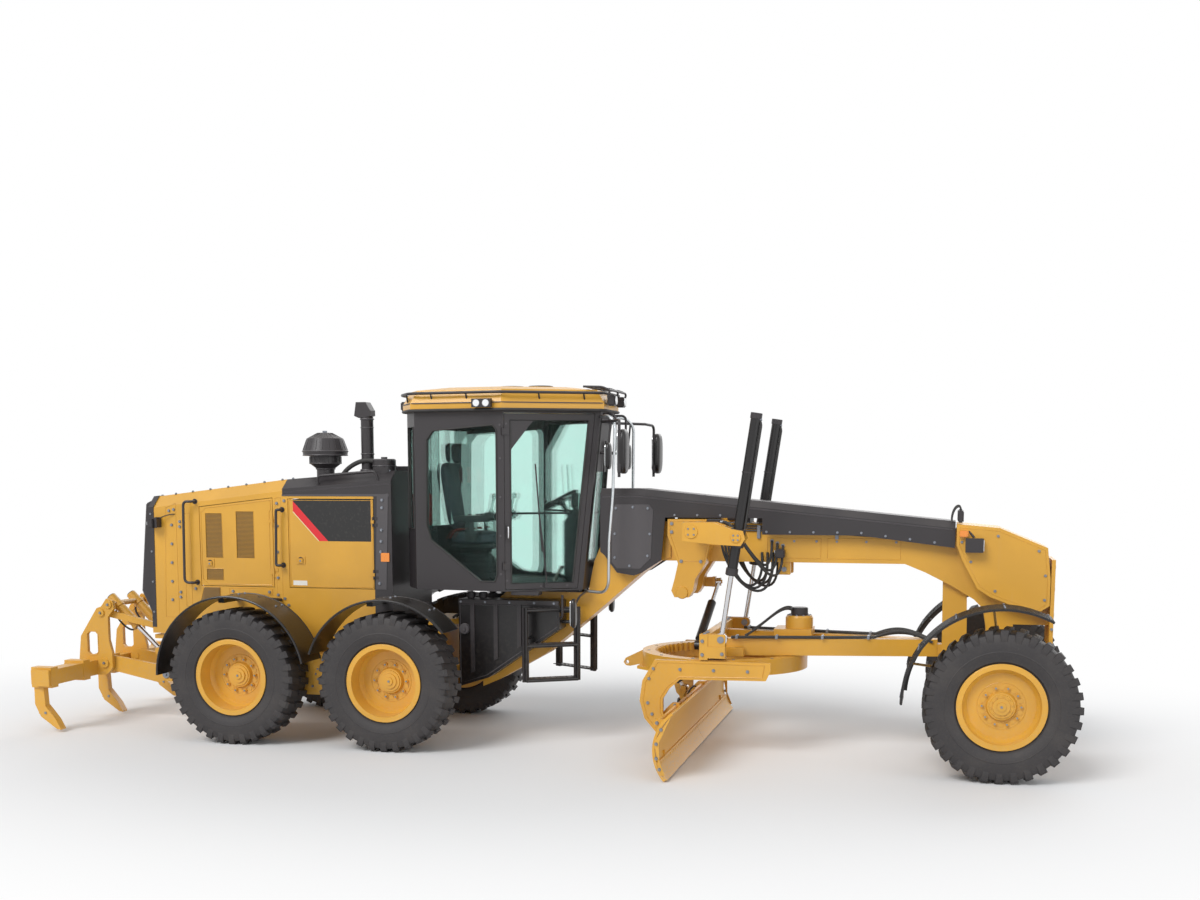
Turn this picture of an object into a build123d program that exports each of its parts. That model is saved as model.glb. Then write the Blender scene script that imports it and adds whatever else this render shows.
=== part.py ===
from build123d import *
import math
import os

# Motor grader, six wheels, hinged frame, ripper at the rear. Millimetres, X forward, Z up.
# Stations: every x given to the helpers below is counted forward from the middle of the tandem.

# Running gear
tandem_x = -1890            # middle of the tandem, from the part's own origin
wheelbase = 6123            # front axle to the middle of the tandem
tandem_spacing = 1523
tyre_radius = 632
tyre_width = 385
width_over_tyres = 2511
rim_radius = 330
rim_flange_radius = 357
rim_sheet = 18
rear_dish = -30             # wheel disc from the tyre's middle, outward
front_dish = 75
rear_hub = -180             # inner face of the hub from the tyre's middle
front_hub = -65
bolt_circle_radius = 155
bolts_per_wheel = 10
spindle_radius = 55
hub_radius = 125
pin_gap = 0.05              # a pin's clearance in its hole, on the radius
seat = 0.3                  # gap between pieces that only rest on each other

wheel_y = (width_over_tyres - tyre_width) / 2
tyre_inner_y = wheel_y - tyre_width / 2
tyre_outer_y = wheel_y + tyre_width / 2
rear_axle = -tandem_spacing / 2
mid_axle = tandem_spacing / 2
fender_radius = 757
fender_sheet = 14

# Rear frame and engine housing
hitch = 1200                # the frame's upright hinge
hitch_pin_radius = 60
hitch_top = 1125
hitch_bottom = 620
lug_thickness = 50
lug_radius = 130
rear_frame_half = 300
hood_rear = -1990
hood_split = -540           # yellow hood to black cowl
hood_front = 400
cowl_front = 580
hood_half = 520
hood_wall = 30
hood_bottom = 940
door_gap = 6
door_sheet = 30
door_bottom = 1425
rear_door_rear = -1430
rear_door_front = -650
front_door_rear = -480
front_door_front = 394
hinge_radius = 9            # service door hinges
hinge_pin_radius = 4
hinge_heights = (1560, 2060)
hinge_leaf = 45

# Cab, as half widths of its plan from rear to front
cab_rear_x, cab_rear_half = 680, 330
cab_fold_x, cab_fold_half = 860, 610
b_post_x, b_post_half = 1745, 700
a_post_x, a_post_half = 2540, 230
cab_bottom = 1440
cab_top = 3082
cab_wall = 50
cab_front_lean = 150        # the windscreen's foot stands this far behind its top
glass = 8
door_barrel_radius = 12     # hinge barrels of the cab doors, on pins at the middle posts
door_pin_radius = 5
door_barrel_length = 60
door_barrels = (1640, 2860)    # heights of their lower ends

# Front frame
frame_half = 150
frame_bottom = 1713
frame_top = 2030
cover_half = 250
cover_sheet = 12
kingpin_y = 780
lean_pin_radius = 35
kingpin_radius = 30
lean_bar_height = 330
tie_arm = 220
tie_height = 218
tie_rod_radius = 24

# Blade gear
ball_x, ball_z = 5711, 939                     # the drawbar's front eye
drawbar_pin_radius = 30
fork_half = 60
circle_x = 3677
circle_radius = 765
circle_inner = 650
circle_top = 878
circle_bottom = 740
pinion_low = 806            # the circle's drive pinion passes over the tip cylinder's lugs
drawbar_tube = 152
blade_half = 1830
blade_sheet = 22
tip_x, tip_z = 3240, 262
tip_pin_radius = 35
slide_rail_radius = 20
slide_rails = ((3338, 175), (3348, 436))       # station and height of each rail
lift_y = 750
lift_trunnion = (3890, 1962)
lift_eye = (3760, 1065)
lift_barrel_radius = 45
lift_rod_radius = 22
lift_top = 3030
shift_top = (3560, 350, 1488)                  # centre-shift cylinder's eyes, with y
shift_foot = (3480, -350, 958)
tip_top = (3120, 760)                          # blade tip cylinder's eyes
tip_foot = (3300, 500)

# Ripper linkage, as station and height
ripper_arm_foot = (-1980, 492)
ripper_arm_tail = (-2675, 588)
ripper_rise = (-20, 517)                       # from an arm's pin to its upper link's pin
ripper_pin_radius = 30
ripper_half = 1150
shank_spacing = 533
cylinder_trunnion = (-2605, 1190)
cylinder_foot = (-2115, 710)
cylinder_y = 180


def side_plane(y):
    """An upright plane along the machine, x counted from the tandem, z up."""
    return Plane(origin=(tandem_x, y, 0), x_dir=(1, 0, 0), z_dir=(0, -1, 0))


def side_plate(outline, y_low, y_high, mode=Mode.ADD):
    """A plate drawn from the side as (station, height) corners."""
    with BuildSketch(side_plane(y_high)) as face:
        with BuildLine():
            Polyline(*outline, close=True)
        make_face()
    extrude(face.sketch, amount=y_high - y_low, mode=mode)


def plan_plate(outline, z_low, z_high, mode=Mode.ADD):
    """A plate drawn from above as (station, y) corners."""
    with BuildSketch(Plane(origin=(tandem_x, 0, z_low))) as face:
        with BuildLine():
            Polyline(*outline, close=True)
        make_face()
    extrude(face.sketch, amount=z_high - z_low, mode=mode)


def cross_plate(outline, x_low, x_high, mode=Mode.ADD):
    """A plate drawn from the front as (y, height) corners."""
    with BuildSketch(Plane(origin=(tandem_x + x_low, 0, 0), x_dir=(0, 1, 0), z_dir=(1, 0, 0))) as face:
        with BuildLine():
            Polyline(*outline, close=True)
        make_face()
    extrude(face.sketch, amount=x_high - x_low, mode=mode)


def block(x_low, x_high, y_low, y_high, z_low, z_high, mode=Mode.ADD):
    """A straight box between two stations."""
    side_plate(((x_low, z_low), (x_high, z_low), (x_high, z_high), (x_low, z_high)), y_low, y_high, mode)


def round_bar(start, end, radius, mode=Mode.ADD):
    """A round bar between two points, each (station, y, height)."""
    low = Vector(tandem_x + start[0], start[1], start[2])
    high = Vector(tandem_x + end[0], end[1], end[2])
    with BuildSketch(Plane(origin=low, z_dir=high - low)) as face:
        Circle(radius)
    extrude(face.sketch, amount=(high - low).length, mode=mode)


def cross_pin(station, height, y_low, y_high, radius, mode=Mode.ADD):
    """A pin, or with Mode.SUBTRACT its hole, that lies across the machine."""
    round_bar((station, y_low, height), (station, y_high, height), radius, mode)


def bent_tube(points, radius, bend):
    """A round tube along straight runs with equal bends."""
    corners = [(tandem_x + x, y, z) for x, y, z in points]
    with BuildLine() as path:
        FilletPolyline(*corners, radius=bend)
    with BuildSketch(Plane(origin=path.line @ 0, z_dir=path.line % 0)) as face:
        Circle(radius)
    sweep(face.sketch, path=path.line)


def wall_plane(start, end):
    """The outer plane of a right-hand wall from start to end, each (station, y)."""
    along = Vector(end[0] - start[0], end[1] - start[1], 0).normalized()
    return Plane(origin=(tandem_x + start[0], start[1], 0), x_dir=along, z_dir=(along.Y, -along.X, 0))


def wall_opening(start, end, outline, depth, mode=Mode.SUBTRACT, inset=0, shrink=0):
    """A panel or opening drawn on a wall's outer plane as (run, height) corners, going inward."""
    with BuildSketch(wall_plane(start, end).offset(-inset)) as face:
        with BuildLine():
            Polyline(*outline, close=True)
        make_face()
        if shrink:
            offset(amount=-shrink, kind=Kind.INTERSECTION)
    extrude(face.sketch, amount=-depth, mode=mode)


def save(piece, name):
    piece.part.label = name
    export_step(piece.part, f"parts/{name}.step")


os.makedirs("parts", exist_ok=True)
right, left = -1, 1


# Wheels
def tyre_profile():
    half = tyre_width / 2
    bead = 151 - seat
    return ((-bead, rim_radius + seat), (-bead, rim_flange_radius + 3), (-half + 12, rim_radius + 70),
            (-half, rim_radius + 150),
            (-half, tyre_radius - 62), (-half + 22, tyre_radius), (half - 22, tyre_radius),
            (half, tyre_radius - 62), (half, rim_radius + 150), (half - 12, rim_radius + 70),
            (bead, rim_flange_radius + 3), (bead, rim_radius + seat))


def rim_profile(side, dish, hub_in):
    """Rim, disc and hub in section; the hub reaches inward to the axle end."""
    lip = 165
    disc_in = dish - rim_sheet
    outline = ((-lip, rim_flange_radius), (-lip + 14, rim_flange_radius), (-lip + 14, rim_radius),
               (lip - 14, rim_radius), (lip - 14, rim_flange_radius), (lip, rim_flange_radius),
               (lip, rim_radius - rim_sheet), (dish + 40, rim_radius - rim_sheet - 12),
               (dish, rim_radius - 60),
               (dish, hub_radius), (dish + 34, hub_radius - 14), (dish + 34, 0), (dish + 10, 0),
               (dish + 10, spindle_radius + pin_gap), (hub_in, spindle_radius + pin_gap),
               (hub_in, hub_radius),
               (disc_in, hub_radius), (disc_in, rim_radius - 60), (disc_in, rim_radius - rim_sheet - 12),
               (-lip, rim_radius - rim_sheet))
    return [(side * y, radius) for y, radius in outline]


wheel_table = (
    # name, station, side, dish, hub's inner face
    ("rear_right", rear_axle, right, rear_dish, rear_hub),
    ("rear_left", rear_axle, left, rear_dish, rear_hub),
    ("mid_right", mid_axle, right, rear_dish, rear_hub), ("mid_left", mid_axle, left, rear_dish, rear_hub),
    ("front_right", wheelbase, right, front_dish, front_hub),
    ("front_left", wheelbase, left, front_dish, front_hub),
)
for wheel_name, station, side, dish, hub_in in wheel_table:
    centre = Vector(tandem_x + station, side * wheel_y, tyre_radius)
    section = Plane(origin=centre, x_dir=(0, 1, 0), z_dir=(1, 0, 0))
    turning = Axis(centre, (0, 1, 0))
    with BuildPart() as tyre:
        with BuildSketch(section):
            with BuildLine():
                Polyline(*tyre_profile(), close=True)
            make_face()
        revolve(axis=turning)
    save(tyre, "tyre_" + wheel_name)
    face_y = side * (wheel_y + dish)
    with BuildPart() as rim:
        with BuildSketch(section):
            with BuildLine():
                Polyline(*rim_profile(side, dish, hub_in), close=True)
            make_face()
        revolve(axis=turning)
        with BuildSketch(Plane(origin=(centre.X, face_y, centre.Z), x_dir=(1, 0, 0), z_dir=(0, side, 0))):
            with PolarLocations(bolt_circle_radius, bolts_per_wheel):
                RegularPolygon(16, 6)
        extrude(amount=20)
    save(rim, "rim_" + wheel_name)

# Rear frame with the hitch lugs at its front and the ripper's brackets at its rear
with BuildPart() as rear_frame:
    side_plate(((-1850, 640), (1000, 640), (1000, hitch_top), (820, hitch_top), (820, 930), (-1850, 930)),
               -rear_frame_half, rear_frame_half)
    for low in (hitch_top - lug_thickness, hitch_bottom):
        plan_plate(((820, -rear_frame_half), (1000, -rear_frame_half), (hitch, -lug_radius),
                    (hitch, lug_radius),
                    (1000, rear_frame_half), (820, rear_frame_half)), low, low + lug_thickness)
        round_bar((hitch, 0, low), (hitch, 0, low + lug_thickness), lug_radius)
    round_bar((hitch, 0, hitch_bottom - 1), (hitch, 0, hitch_top + 1), hitch_pin_radius + pin_gap,
              Mode.SUBTRACT)
    block(-1920, -1850, -rear_frame_half, rear_frame_half, 400, 1090)
    block(-1990, 380, -hood_half + hood_wall, hood_half - hood_wall, 880, hood_bottom - 20)
    # lower arm and upper link brackets
    for side in (right, left):
        for near, far in ((205, 234), (296, 325)):
            low_y, high_y = sorted((side * near, side * far))
            side_plate(((-1919, 420), (-1990, 428), (-2036, 460), (-2036, 530), (-1990, 560), (-1919, 575)),
                       low_y, high_y)
            side_plate(((-1919, 935), (-2000, 950), (-2045, 980), (-2045, 1045), (-2000, 1070),
                        (-1919, 1085)),
                       low_y, high_y)
        # cheeks and pin for the cylinders' rod eyes
        for near, far in ((138, 152), (208, 234)):
            low_y, high_y = sorted((side * near, side * far))
            side_plate(((-1919, 630), (-2115, 664), (-2158, 700), (-2150, 745), (-2105, 756), (-1919, 800)),
                       low_y, high_y)
        cross_pin(*cylinder_foot, *sorted((side * 140, side * 230)), 20)
        low_y, high_y = sorted((side * 230, side * 325))
        cross_pin(ripper_arm_foot[0], ripper_arm_foot[1], low_y, high_y, ripper_pin_radius)
        cross_pin(ripper_arm_foot[0] + ripper_rise[0], ripper_arm_foot[1] + ripper_rise[1], low_y,
                  high_y, 25)
save(rear_frame, "rear_frame")

with BuildPart() as engine_block:
    block(-1500, 330, -330, 330, 950, 2030)
save(engine_block, "engine_block")


def hood_outline(top_rear, x_rear, x_front, half, shoulder, slope, lift=0.0):
    """Loft corners of the engine housing between two stations: (station, corner list)."""
    sections = []
    for x in (x_rear, x_front):
        top = top_rear + (x - x_rear) * slope + lift
        sections.append((x, ((-half, hood_bottom), (half, hood_bottom), (half, top - shoulder),
                             (half - 120, top), (-half + 120, top), (-half, top - shoulder))))
    return sections


def housing_shell(sections, mode=Mode.ADD):
    faces = []
    for x, outline in sections:
        with BuildSketch(Plane(origin=(tandem_x + x, 0, 0), x_dir=(0, 1, 0), z_dir=(1, 0, 0))) as face:
            with BuildLine():
                Polyline(*outline, close=True)
            make_face()
        faces.append(face.sketch)
    loft(faces, ruled=True, mode=mode)


hood_top_rear = 2285
hood_slope = 0.12
cowl_top_rear = hood_top_rear + (hood_split - hood_rear) * hood_slope
cowl_slope = 0.075
cowl_skirt = cowl_top_rear - 150       # underside of the black top over the front doors

rear_door = ((rear_door_rear, door_bottom), (rear_door_front, door_bottom), (rear_door_front, 2280),
             (rear_door_rear, 2190))
front_door = ((front_door_rear, door_bottom), (front_door_front, door_bottom), (front_door_front, 2270),
              (front_door_rear, 2270))


def grown(outline, by):
    """An upright four-sided outline with each side moved out by the given amount."""
    (x0, z0), (x1, z1), (x2, z2), (x3, z3) = outline
    return ((x0 - by, z0 - by), (x1 + by, z1 - by), (x2 + by, z2 + by), (x3 - by, z3 + by))


def hinge_part(x_axis, side, leaf_from, leaf_to, segments, bored):
    """One half of a service door's hinges: barrels on the axis and a leaf on the panel's face."""
    y_axis = side * (hood_half + hinge_radius + 0.5)
    for middle in hinge_heights:
        for low, high in segments:
            round_bar((x_axis, y_axis, middle + low), (x_axis, y_axis, middle + high), hinge_radius)
            block(leaf_from, leaf_to, *sorted((side * (hood_half - 1), side * (hood_half + 6))),
                  middle + low,
                  middle + high)
        reach = (middle - 46, middle + 46)
        if bored:
            round_bar((x_axis, y_axis, reach[0]), (x_axis, y_axis, reach[1]), hinge_pin_radius + pin_gap,
                      Mode.SUBTRACT)
        else:
            round_bar((x_axis, y_axis, reach[0]), (x_axis, y_axis, reach[1]), hinge_pin_radius)


outer_barrels = ((-45, -15.3), (15.3, 45))
inner_barrel = ((-15, 15),)
rear_door_axis = rear_door_front + door_gap / 2
front_door_axis = front_door_front + door_gap / 2


with BuildPart() as hood:
    housing_shell(hood_outline(hood_top_rear, hood_rear, hood_split, hood_half, 110, hood_slope))
    block(hood_split, hood_front, -hood_half, hood_half, hood_bottom, cowl_skirt - seat)
    housing_shell(hood_outline(hood_top_rear, hood_rear - 1, hood_split - hood_wall,
                               hood_half - hood_wall, 120,
                               hood_slope, -hood_wall), Mode.SUBTRACT)
    block(hood_split - hood_wall - 1, hood_front + 1, -hood_half + hood_wall, hood_half - hood_wall,
          hood_bottom - 1, cowl_skirt + 1, Mode.SUBTRACT)
    for outline in (rear_door, front_door):
        side_plate(grown(outline, door_gap), -hood_half - 1, -hood_half + hood_wall + 1, Mode.SUBTRACT)
        side_plate(grown(outline, door_gap), hood_half - hood_wall - 1, hood_half + 1, Mode.SUBTRACT)
    for side in (right, left):
        hinge_part(rear_door_axis, side, rear_door_axis, rear_door_axis + hinge_leaf, outer_barrels, False)
save(hood, "hood")

# Black cowl with the pre-cleaner and the exhaust on it
with BuildPart() as engine_cowl:
    for x_low, x_high, z_low in ((hood_split, hood_front + 1, cowl_skirt),
                                 (hood_front + seat, cowl_front, 1360)):
        half = hood_half
        low_top = cowl_top_rear + (x_low - hood_split) * cowl_slope
        high_top = cowl_top_rear + (x_high - hood_split) * cowl_slope
        housing_shell(((x_low, ((-half, z_low), (half, z_low), (half, low_top - 90), (half - 120, low_top),
                                (-half + 120, low_top), (-half, low_top - 90))),
                       (x_high, ((-half, z_low), (half, z_low), (half, high_top - 90),
                                 (half - 120, high_top),
                                 (-half + 120, high_top), (-half, high_top - 90)))))
    block(hood_front + seat, cowl_front, -hood_half, hood_half, hood_bottom, 1362)
    for side in (right, left):
        hinge_part(front_door_axis, side, front_door_axis, front_door_axis + hinge_leaf, outer_barrels,
                   False)
    # pre-cleaner: neck, bowl and mushroom cap
    with BuildSketch(Plane(origin=(tandem_x - 205, -250, 0), x_dir=(1, 0, 0), z_dir=(0, -1, 0))) as bowl:
        with BuildLine():
            Polyline((0, 2440), (85, 2440), (85, 2560), (150, 2610), (150, 2680), (212, 2690), (218, 2730),
                     (175, 2850), (60, 2905), (0, 2908), close=True)
        make_face()
    revolve(bowl.sketch, axis=Axis((tandem_x - 205, -250, 0), (0, 0, 1)))
    round_bar((237, -250, 2480), (237, -250, 3080), 60)
    with BuildSketch(side_plane(-190)) as tip:
        with BuildLine():
            Polyline((297, 3060), (297, 3110), (250, 3190), (150, 3190), (130, 3060), (177, 3040),
                     close=True)
        make_face()
    extrude(tip.sketch, amount=120)
    round_bar((440, -330, 2480), (440, -330, 2640), 110)
save(engine_cowl, "engine_cowl")

with BuildPart() as rear_grille:
    side_plate(((hood_rear - seat, 1105), (hood_rear - seat, 2250), (-2045, 2225), (-2128, 1354),
                (-2010, 1105)),
               -450, 450)
    for row in range(11):
        height = 1400 + row * 72
        block(-2200, -2060, -400, -30, height, height + 40, Mode.SUBTRACT)
        block(-2200, -2060, 30, 400, height, height + 40, Mode.SUBTRACT)
save(rear_grille, "rear_grille")

# Tandem cases, drive axle and wheel spindles
with BuildPart() as tandem_cases:
    for side in (right, left):
        low_y, high_y = sorted((side * 640, side * 850))
        side_plate(((rear_axle - 190, 560), (rear_axle - 120, 440), (mid_axle + 120, 440),
                    (mid_axle + 190, 560),
                    (mid_axle + 190, 720), (mid_axle + 100, 820), (rear_axle - 100, 820),
                    (rear_axle - 190, 720)),
                   low_y, high_y)
        for axle in (rear_axle, mid_axle):
            cross_pin(axle, tyre_radius, *sorted((side * 850, side * (wheel_y + rear_dish + 8))),
                      spindle_radius)
            cross_pin(axle, tyre_radius, *sorted((side * 850, side * (tyre_inner_y + 8))), 170)
        cross_pin(0, 640, *sorted((side * (rear_frame_half + seat), side * 641)), 150)
save(tandem_cases, "tandem_cases")


def fender_arc(axle, start, end, radius, sheet, y_low, y_high, drop=0):
    """A curved mudguard round an axle between two angles, measured from straight ahead."""
    def point(angle, r):
        return (axle + r * math.cos(math.radians(angle)),
                tyre_radius - drop + r * math.sin(math.radians(angle)))
    middle = (start + end) / 2
    with BuildSketch(side_plane(y_high)) as face:
        with BuildLine():
            ThreePointArc(point(start, radius), point(middle, radius), point(end, radius))
            Line(point(end, radius), point(end, radius - sheet))
            ThreePointArc(point(end, radius - sheet), point(middle, radius - sheet),
                          point(start, radius - sheet))
            Line(point(start, radius - sheet), point(start, radius))
        make_face()
    extrude(face.sketch, amount=y_high - y_low)


with BuildPart() as rear_fenders:
    for side in (right, left):
        low_y, high_y = sorted((side * 856, side * tyre_outer_y))
        fender_arc(rear_axle, 12, 180, fender_radius, fender_sheet, low_y, high_y)
        fender_arc(mid_axle, 39, 161, fender_radius, fender_sheet, low_y, high_y)
        for axle in (rear_axle, mid_axle):
            low_y, high_y = sorted((side * (hood_half + seat), side * 870))
            block(axle - 300, axle - 240, low_y, high_y, 1290, 1330)
save(rear_fenders, "rear_fenders")

# Service doors, each hinged at its front edge
for door_name, outline, side in (("rear_right", rear_door, right), ("rear_left", rear_door, left),
                                 ("front_right", front_door, right), ("front_left", front_door, left)):
    with BuildPart() as service_door:
        low_y, high_y = sorted((side * (hood_half - door_sheet), side * hood_half))
        side_plate(outline, low_y, high_y)
        axis = rear_door_axis if outline is rear_door else front_door_axis
        hinge_part(axis, side, axis - hinge_leaf, axis, inner_barrel, True)
        if outline is rear_door:
            for x_low, x_high, z_low, z_high in ((-1370, -1190, 1700, 2130), (-1040, -850, 1700, 2150),
                                                 (-1370, -1190, 1480, 1590)):
                face_low, face_high = sorted((side * (hood_half - 8), side * (hood_half + 1)))
                block(x_low, x_high, face_low, face_high, z_low, z_high, Mode.SUBTRACT)
    save(service_door, "service_door_" + door_name)

# Ripper: arms, beam with plates and shanks, upper links, cylinders
arm_foot, arm_tail = ripper_arm_foot, ripper_arm_tail
link_foot = (arm_foot[0] + ripper_rise[0], arm_foot[1] + ripper_rise[1])
link_tail = (arm_tail[0] + ripper_rise[0], arm_tail[1] + ripper_rise[1])
with BuildPart() as ripper_arms:
    for side in (right, left):
        low_y, high_y = sorted((side * 240, side * 290))
        side_plate(((arm_tail[0], arm_tail[1] - 70), (arm_foot[0] - 120, arm_foot[1] - 90),
                    (arm_foot[0], arm_foot[1] - 55), (arm_foot[0], arm_foot[1] + 55),
                    (arm_foot[0] - 120, arm_foot[1] + 90),
                    (arm_tail[0] + 40, arm_tail[1] + 75), (arm_tail[0], arm_tail[1] + 70)), low_y, high_y)
        for station, height, radius in ((arm_foot[0], arm_foot[1], 55), (arm_tail[0], arm_tail[1], 70)):
            cross_pin(station, height, low_y, high_y, radius)
    cross_pin(-2300, 515, -241, 241, 40)
    for side in (right, left):
        low_y, high_y = sorted((side * 239, side * 291))
        for station, height in (arm_foot, arm_tail):
            cross_pin(station, height, low_y, high_y, ripper_pin_radius + pin_gap, Mode.SUBTRACT)
save(ripper_arms, "ripper_arms")

with BuildPart() as ripper_beam:
    block(-2910, -2760, -ripper_half, ripper_half, 465, 615)
    for side in (right, left):
        low_y, high_y = sorted((side * 300, side * 340))
        side_plate(((-2971, 602), (-2940, 860), (-2745, 1150), (-2690, 1170), (-2630, 1250), (-2560, 1230),
                    (-2545, 1150), (-2618, 1060), (-2618, 824), (-2585, 700), (-2585, 544), (-2640, 480),
                    (-2726, 462), (-2930, 465)), low_y, high_y)
        side_plate(((-2867, 700), (-2867, 880), (-2840, 910), (-2770, 910), (-2743, 880), (-2743, 700),
                    (-2770, 672), (-2840, 672)), low_y - 1, high_y + 1, Mode.SUBTRACT)
        low_y, high_y = sorted((side * 232, side * 341))
        cross_pin(arm_tail[0], arm_tail[1], low_y, high_y, ripper_pin_radius)
        cross_pin(link_tail[0], link_tail[1], low_y, high_y, 25)
        low_y, high_y = sorted((side * 299, side * 341))
        cross_pin(cylinder_trunnion[0], cylinder_trunnion[1], low_y, high_y, 28 + pin_gap, Mode.SUBTRACT)
    # three shanks on the end and middle holders, the two holders between them empty
    for place in range(-2, 3):
        middle = place * shank_spacing
        block(-2975, -2755, middle - 55, middle + 55, 440, 640)
        if place % 2 == 0:
            side_plate(((-2965, 445), (-2965, 270), (-2905, 150), (-2730, 32), (-2690, 30), (-2690, 44),
                        (-2760, 150), (-2850, 260), (-2860, 445)), middle - 35, middle + 35)
save(ripper_beam, "ripper_beam")

with BuildPart() as ripper_links:
    for side in (right, left):
        low_y, high_y = sorted((side * 242, side * 288))
        side_plate(((link_tail[0], link_tail[1] - 35), (link_foot[0] - 130, link_foot[1] - 52),
                    (link_foot[0], link_foot[1] - 35), (link_foot[0], link_foot[1] + 35),
                    (link_foot[0] - 130, link_foot[1] + 8), (link_tail[0],
                                                             link_tail[1] + 35)), low_y, high_y)
        for station, height in (link_foot, link_tail):
            cross_pin(station, height, low_y, high_y, 42)
            cross_pin(station, height, low_y - 1, high_y + 1, 25 + pin_gap, Mode.SUBTRACT)
save(ripper_links, "ripper_links")


def toward(start, end, distance):
    """The point at a distance from start on the line to end, as (station, height)."""
    length = math.dist(start, end)
    return tuple(a + (b - a) * distance / length for a, b in zip(start, end))


barrel_end = toward(cylinder_trunnion, cylinder_foot, 330)
bore_end = toward(cylinder_trunnion, cylinder_foot, 340)
barrel_top = toward(cylinder_trunnion, cylinder_foot, -95)
rod_start = toward(cylinder_trunnion, cylinder_foot, 60)
with BuildPart() as ripper_barrels:
    cross_pin(cylinder_trunnion[0], cylinder_trunnion[1], -340, 340, 28)
    for y in (-cylinder_y, cylinder_y):
        round_bar((barrel_top[0], y, barrel_top[1]), (barrel_end[0], y, barrel_end[1]), 50)
        round_bar((rod_start[0], y, rod_start[1]), (bore_end[0], y, bore_end[1]), 25 + pin_gap,
                  Mode.SUBTRACT)
save(ripper_barrels, "ripper_barrels")

with BuildPart() as ripper_rods:
    for y in (-cylinder_y, cylinder_y):
        foot = toward(cylinder_foot, cylinder_trunnion, 38)
        start = toward(cylinder_trunnion, cylinder_foot, 64)
        round_bar((start[0], y, start[1]), (foot[0], y, foot[1]), 25)
        cross_pin(cylinder_foot[0], cylinder_foot[1], y - 26, y + 26, 50)
        cross_pin(cylinder_foot[0], cylinder_foot[1], y - 27, y + 27, 30, Mode.SUBTRACT)
save(ripper_rods, "ripper_rods")

# Front frame: hitch boss, swept beam over the blade, bolster over the axle
with BuildPart() as front_frame:
    side_plate(((1350, 470), (1520, 545), (1973, 800), (2514, 1245), (2897, 1580), (3080, frame_bottom),
                (5300, frame_bottom), (5480, 1640), (5700, 1530), (5900, 1410), (5980, 1330), (6010, 1150),
                (6010, 1000), (6236, 1000), (6236, 1200), (6530, 1200), (6530, 1360), (6500, 1360),
                (6500, 1590), (6462, 1850), (6093, frame_top - 22), (5724, frame_top), (2720, 2080),
                (2590, 2000),
                (2460, 1700), (2400, 1400), (1600, 1400), (1350, 1180)), -frame_half, frame_half)
    block(hitch, 1351, -100, 100, 690, 1060)
    round_bar((hitch, 0, 680), (hitch, 0, hitch_top - lug_thickness - 6), 110)
    round_bar((hitch, 0, hitch_bottom - 20), (hitch, 0, hitch_top + 20), hitch_pin_radius)
    # fork that holds the drawbar's front eye
    side_plate(((5630, 1560), (5840, 1460), (5850, 1010), (5800, 860), (5640, 860)), -92, 92)
    side_plate(((5560, 800), (5800, 800), (5800, 1060), (5560, 1140)), -fork_half, fork_half, Mode.SUBTRACT)
    cross_pin(ball_x, ball_z, -91, 91, drawbar_pin_radius)
    block(6530, 6562, -290, 290, 1020, 1775)
save(front_frame, "front_frame")


def cover_section(half, top):
    return ((-half, 1500), (half, 1500), (half, top - 55), (half - 50, top), (50 - half, top),
            (-half, top - 55))


with BuildPart() as frame_cover:
    for x_low, x_high, low_top, high_top in ((2540, 2905, 2372, 2372), (2905, 5724, 2372, 2092)):
        housing_shell(((x_low, cover_section(cover_half, low_top)),
                       (x_high, cover_section(cover_half, high_top))))
    for x_low, x_high, low_top, high_top in ((2539, 2905, 2372, 2372), (2905, 5725, 2372, 2092)):
        housing_shell(((x_low, cover_section(cover_half - cover_sheet, low_top - cover_sheet)),
                       (x_high, cover_section(cover_half - cover_sheet,
                                              high_top - cover_sheet))), Mode.SUBTRACT)
    side_plate(((5730, 1400), (5730, 1865), (4908, 1965), (4041, 1965), (4041, 2112), (3151, 2112),
                (3117, 1720),
                (2930, 1600), (2860, 1575), (2700, 1600), (2580, 1760), (2530, 1800), (2530, 1400)),
               -cover_half - 1, cover_half + 1, Mode.SUBTRACT)
    for middle, low in ((2800, 2082), (3900, 2066), (4700, 2052), (5600, 2034)):
        height = 2372 - (middle - 2905) * 280 / 2819 if middle > 2905 else 2372
        block(middle - 15, middle + 15, -130, 130, low, height - cover_sheet + 2)
save(frame_cover, "frame_cover")

with BuildPart() as nose_cover:
    side_plate(((5735, 2075), (6093, 2044), (6493, 1877), (6524, 1603), (6524, 1380), (6412, 1305),
                (6025, 1450),
                (5921, 1518), (5788, 1765), (5735, 1893)), -300, 300)
    side_plate(((5700, 1500), (5700, 2057), (6093, 2028), (6478, 1866), (6508, 1603), (6508, 1200),
                (5700, 1200)),
               -285, 285, Mode.SUBTRACT)
    for side in (right, left):
        low_y, high_y = sorted((side * (frame_half + seat), side * 286))
        block(6000, 6030, low_y, high_y, 1600, 1900)
save(nose_cover, "nose_cover")

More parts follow.
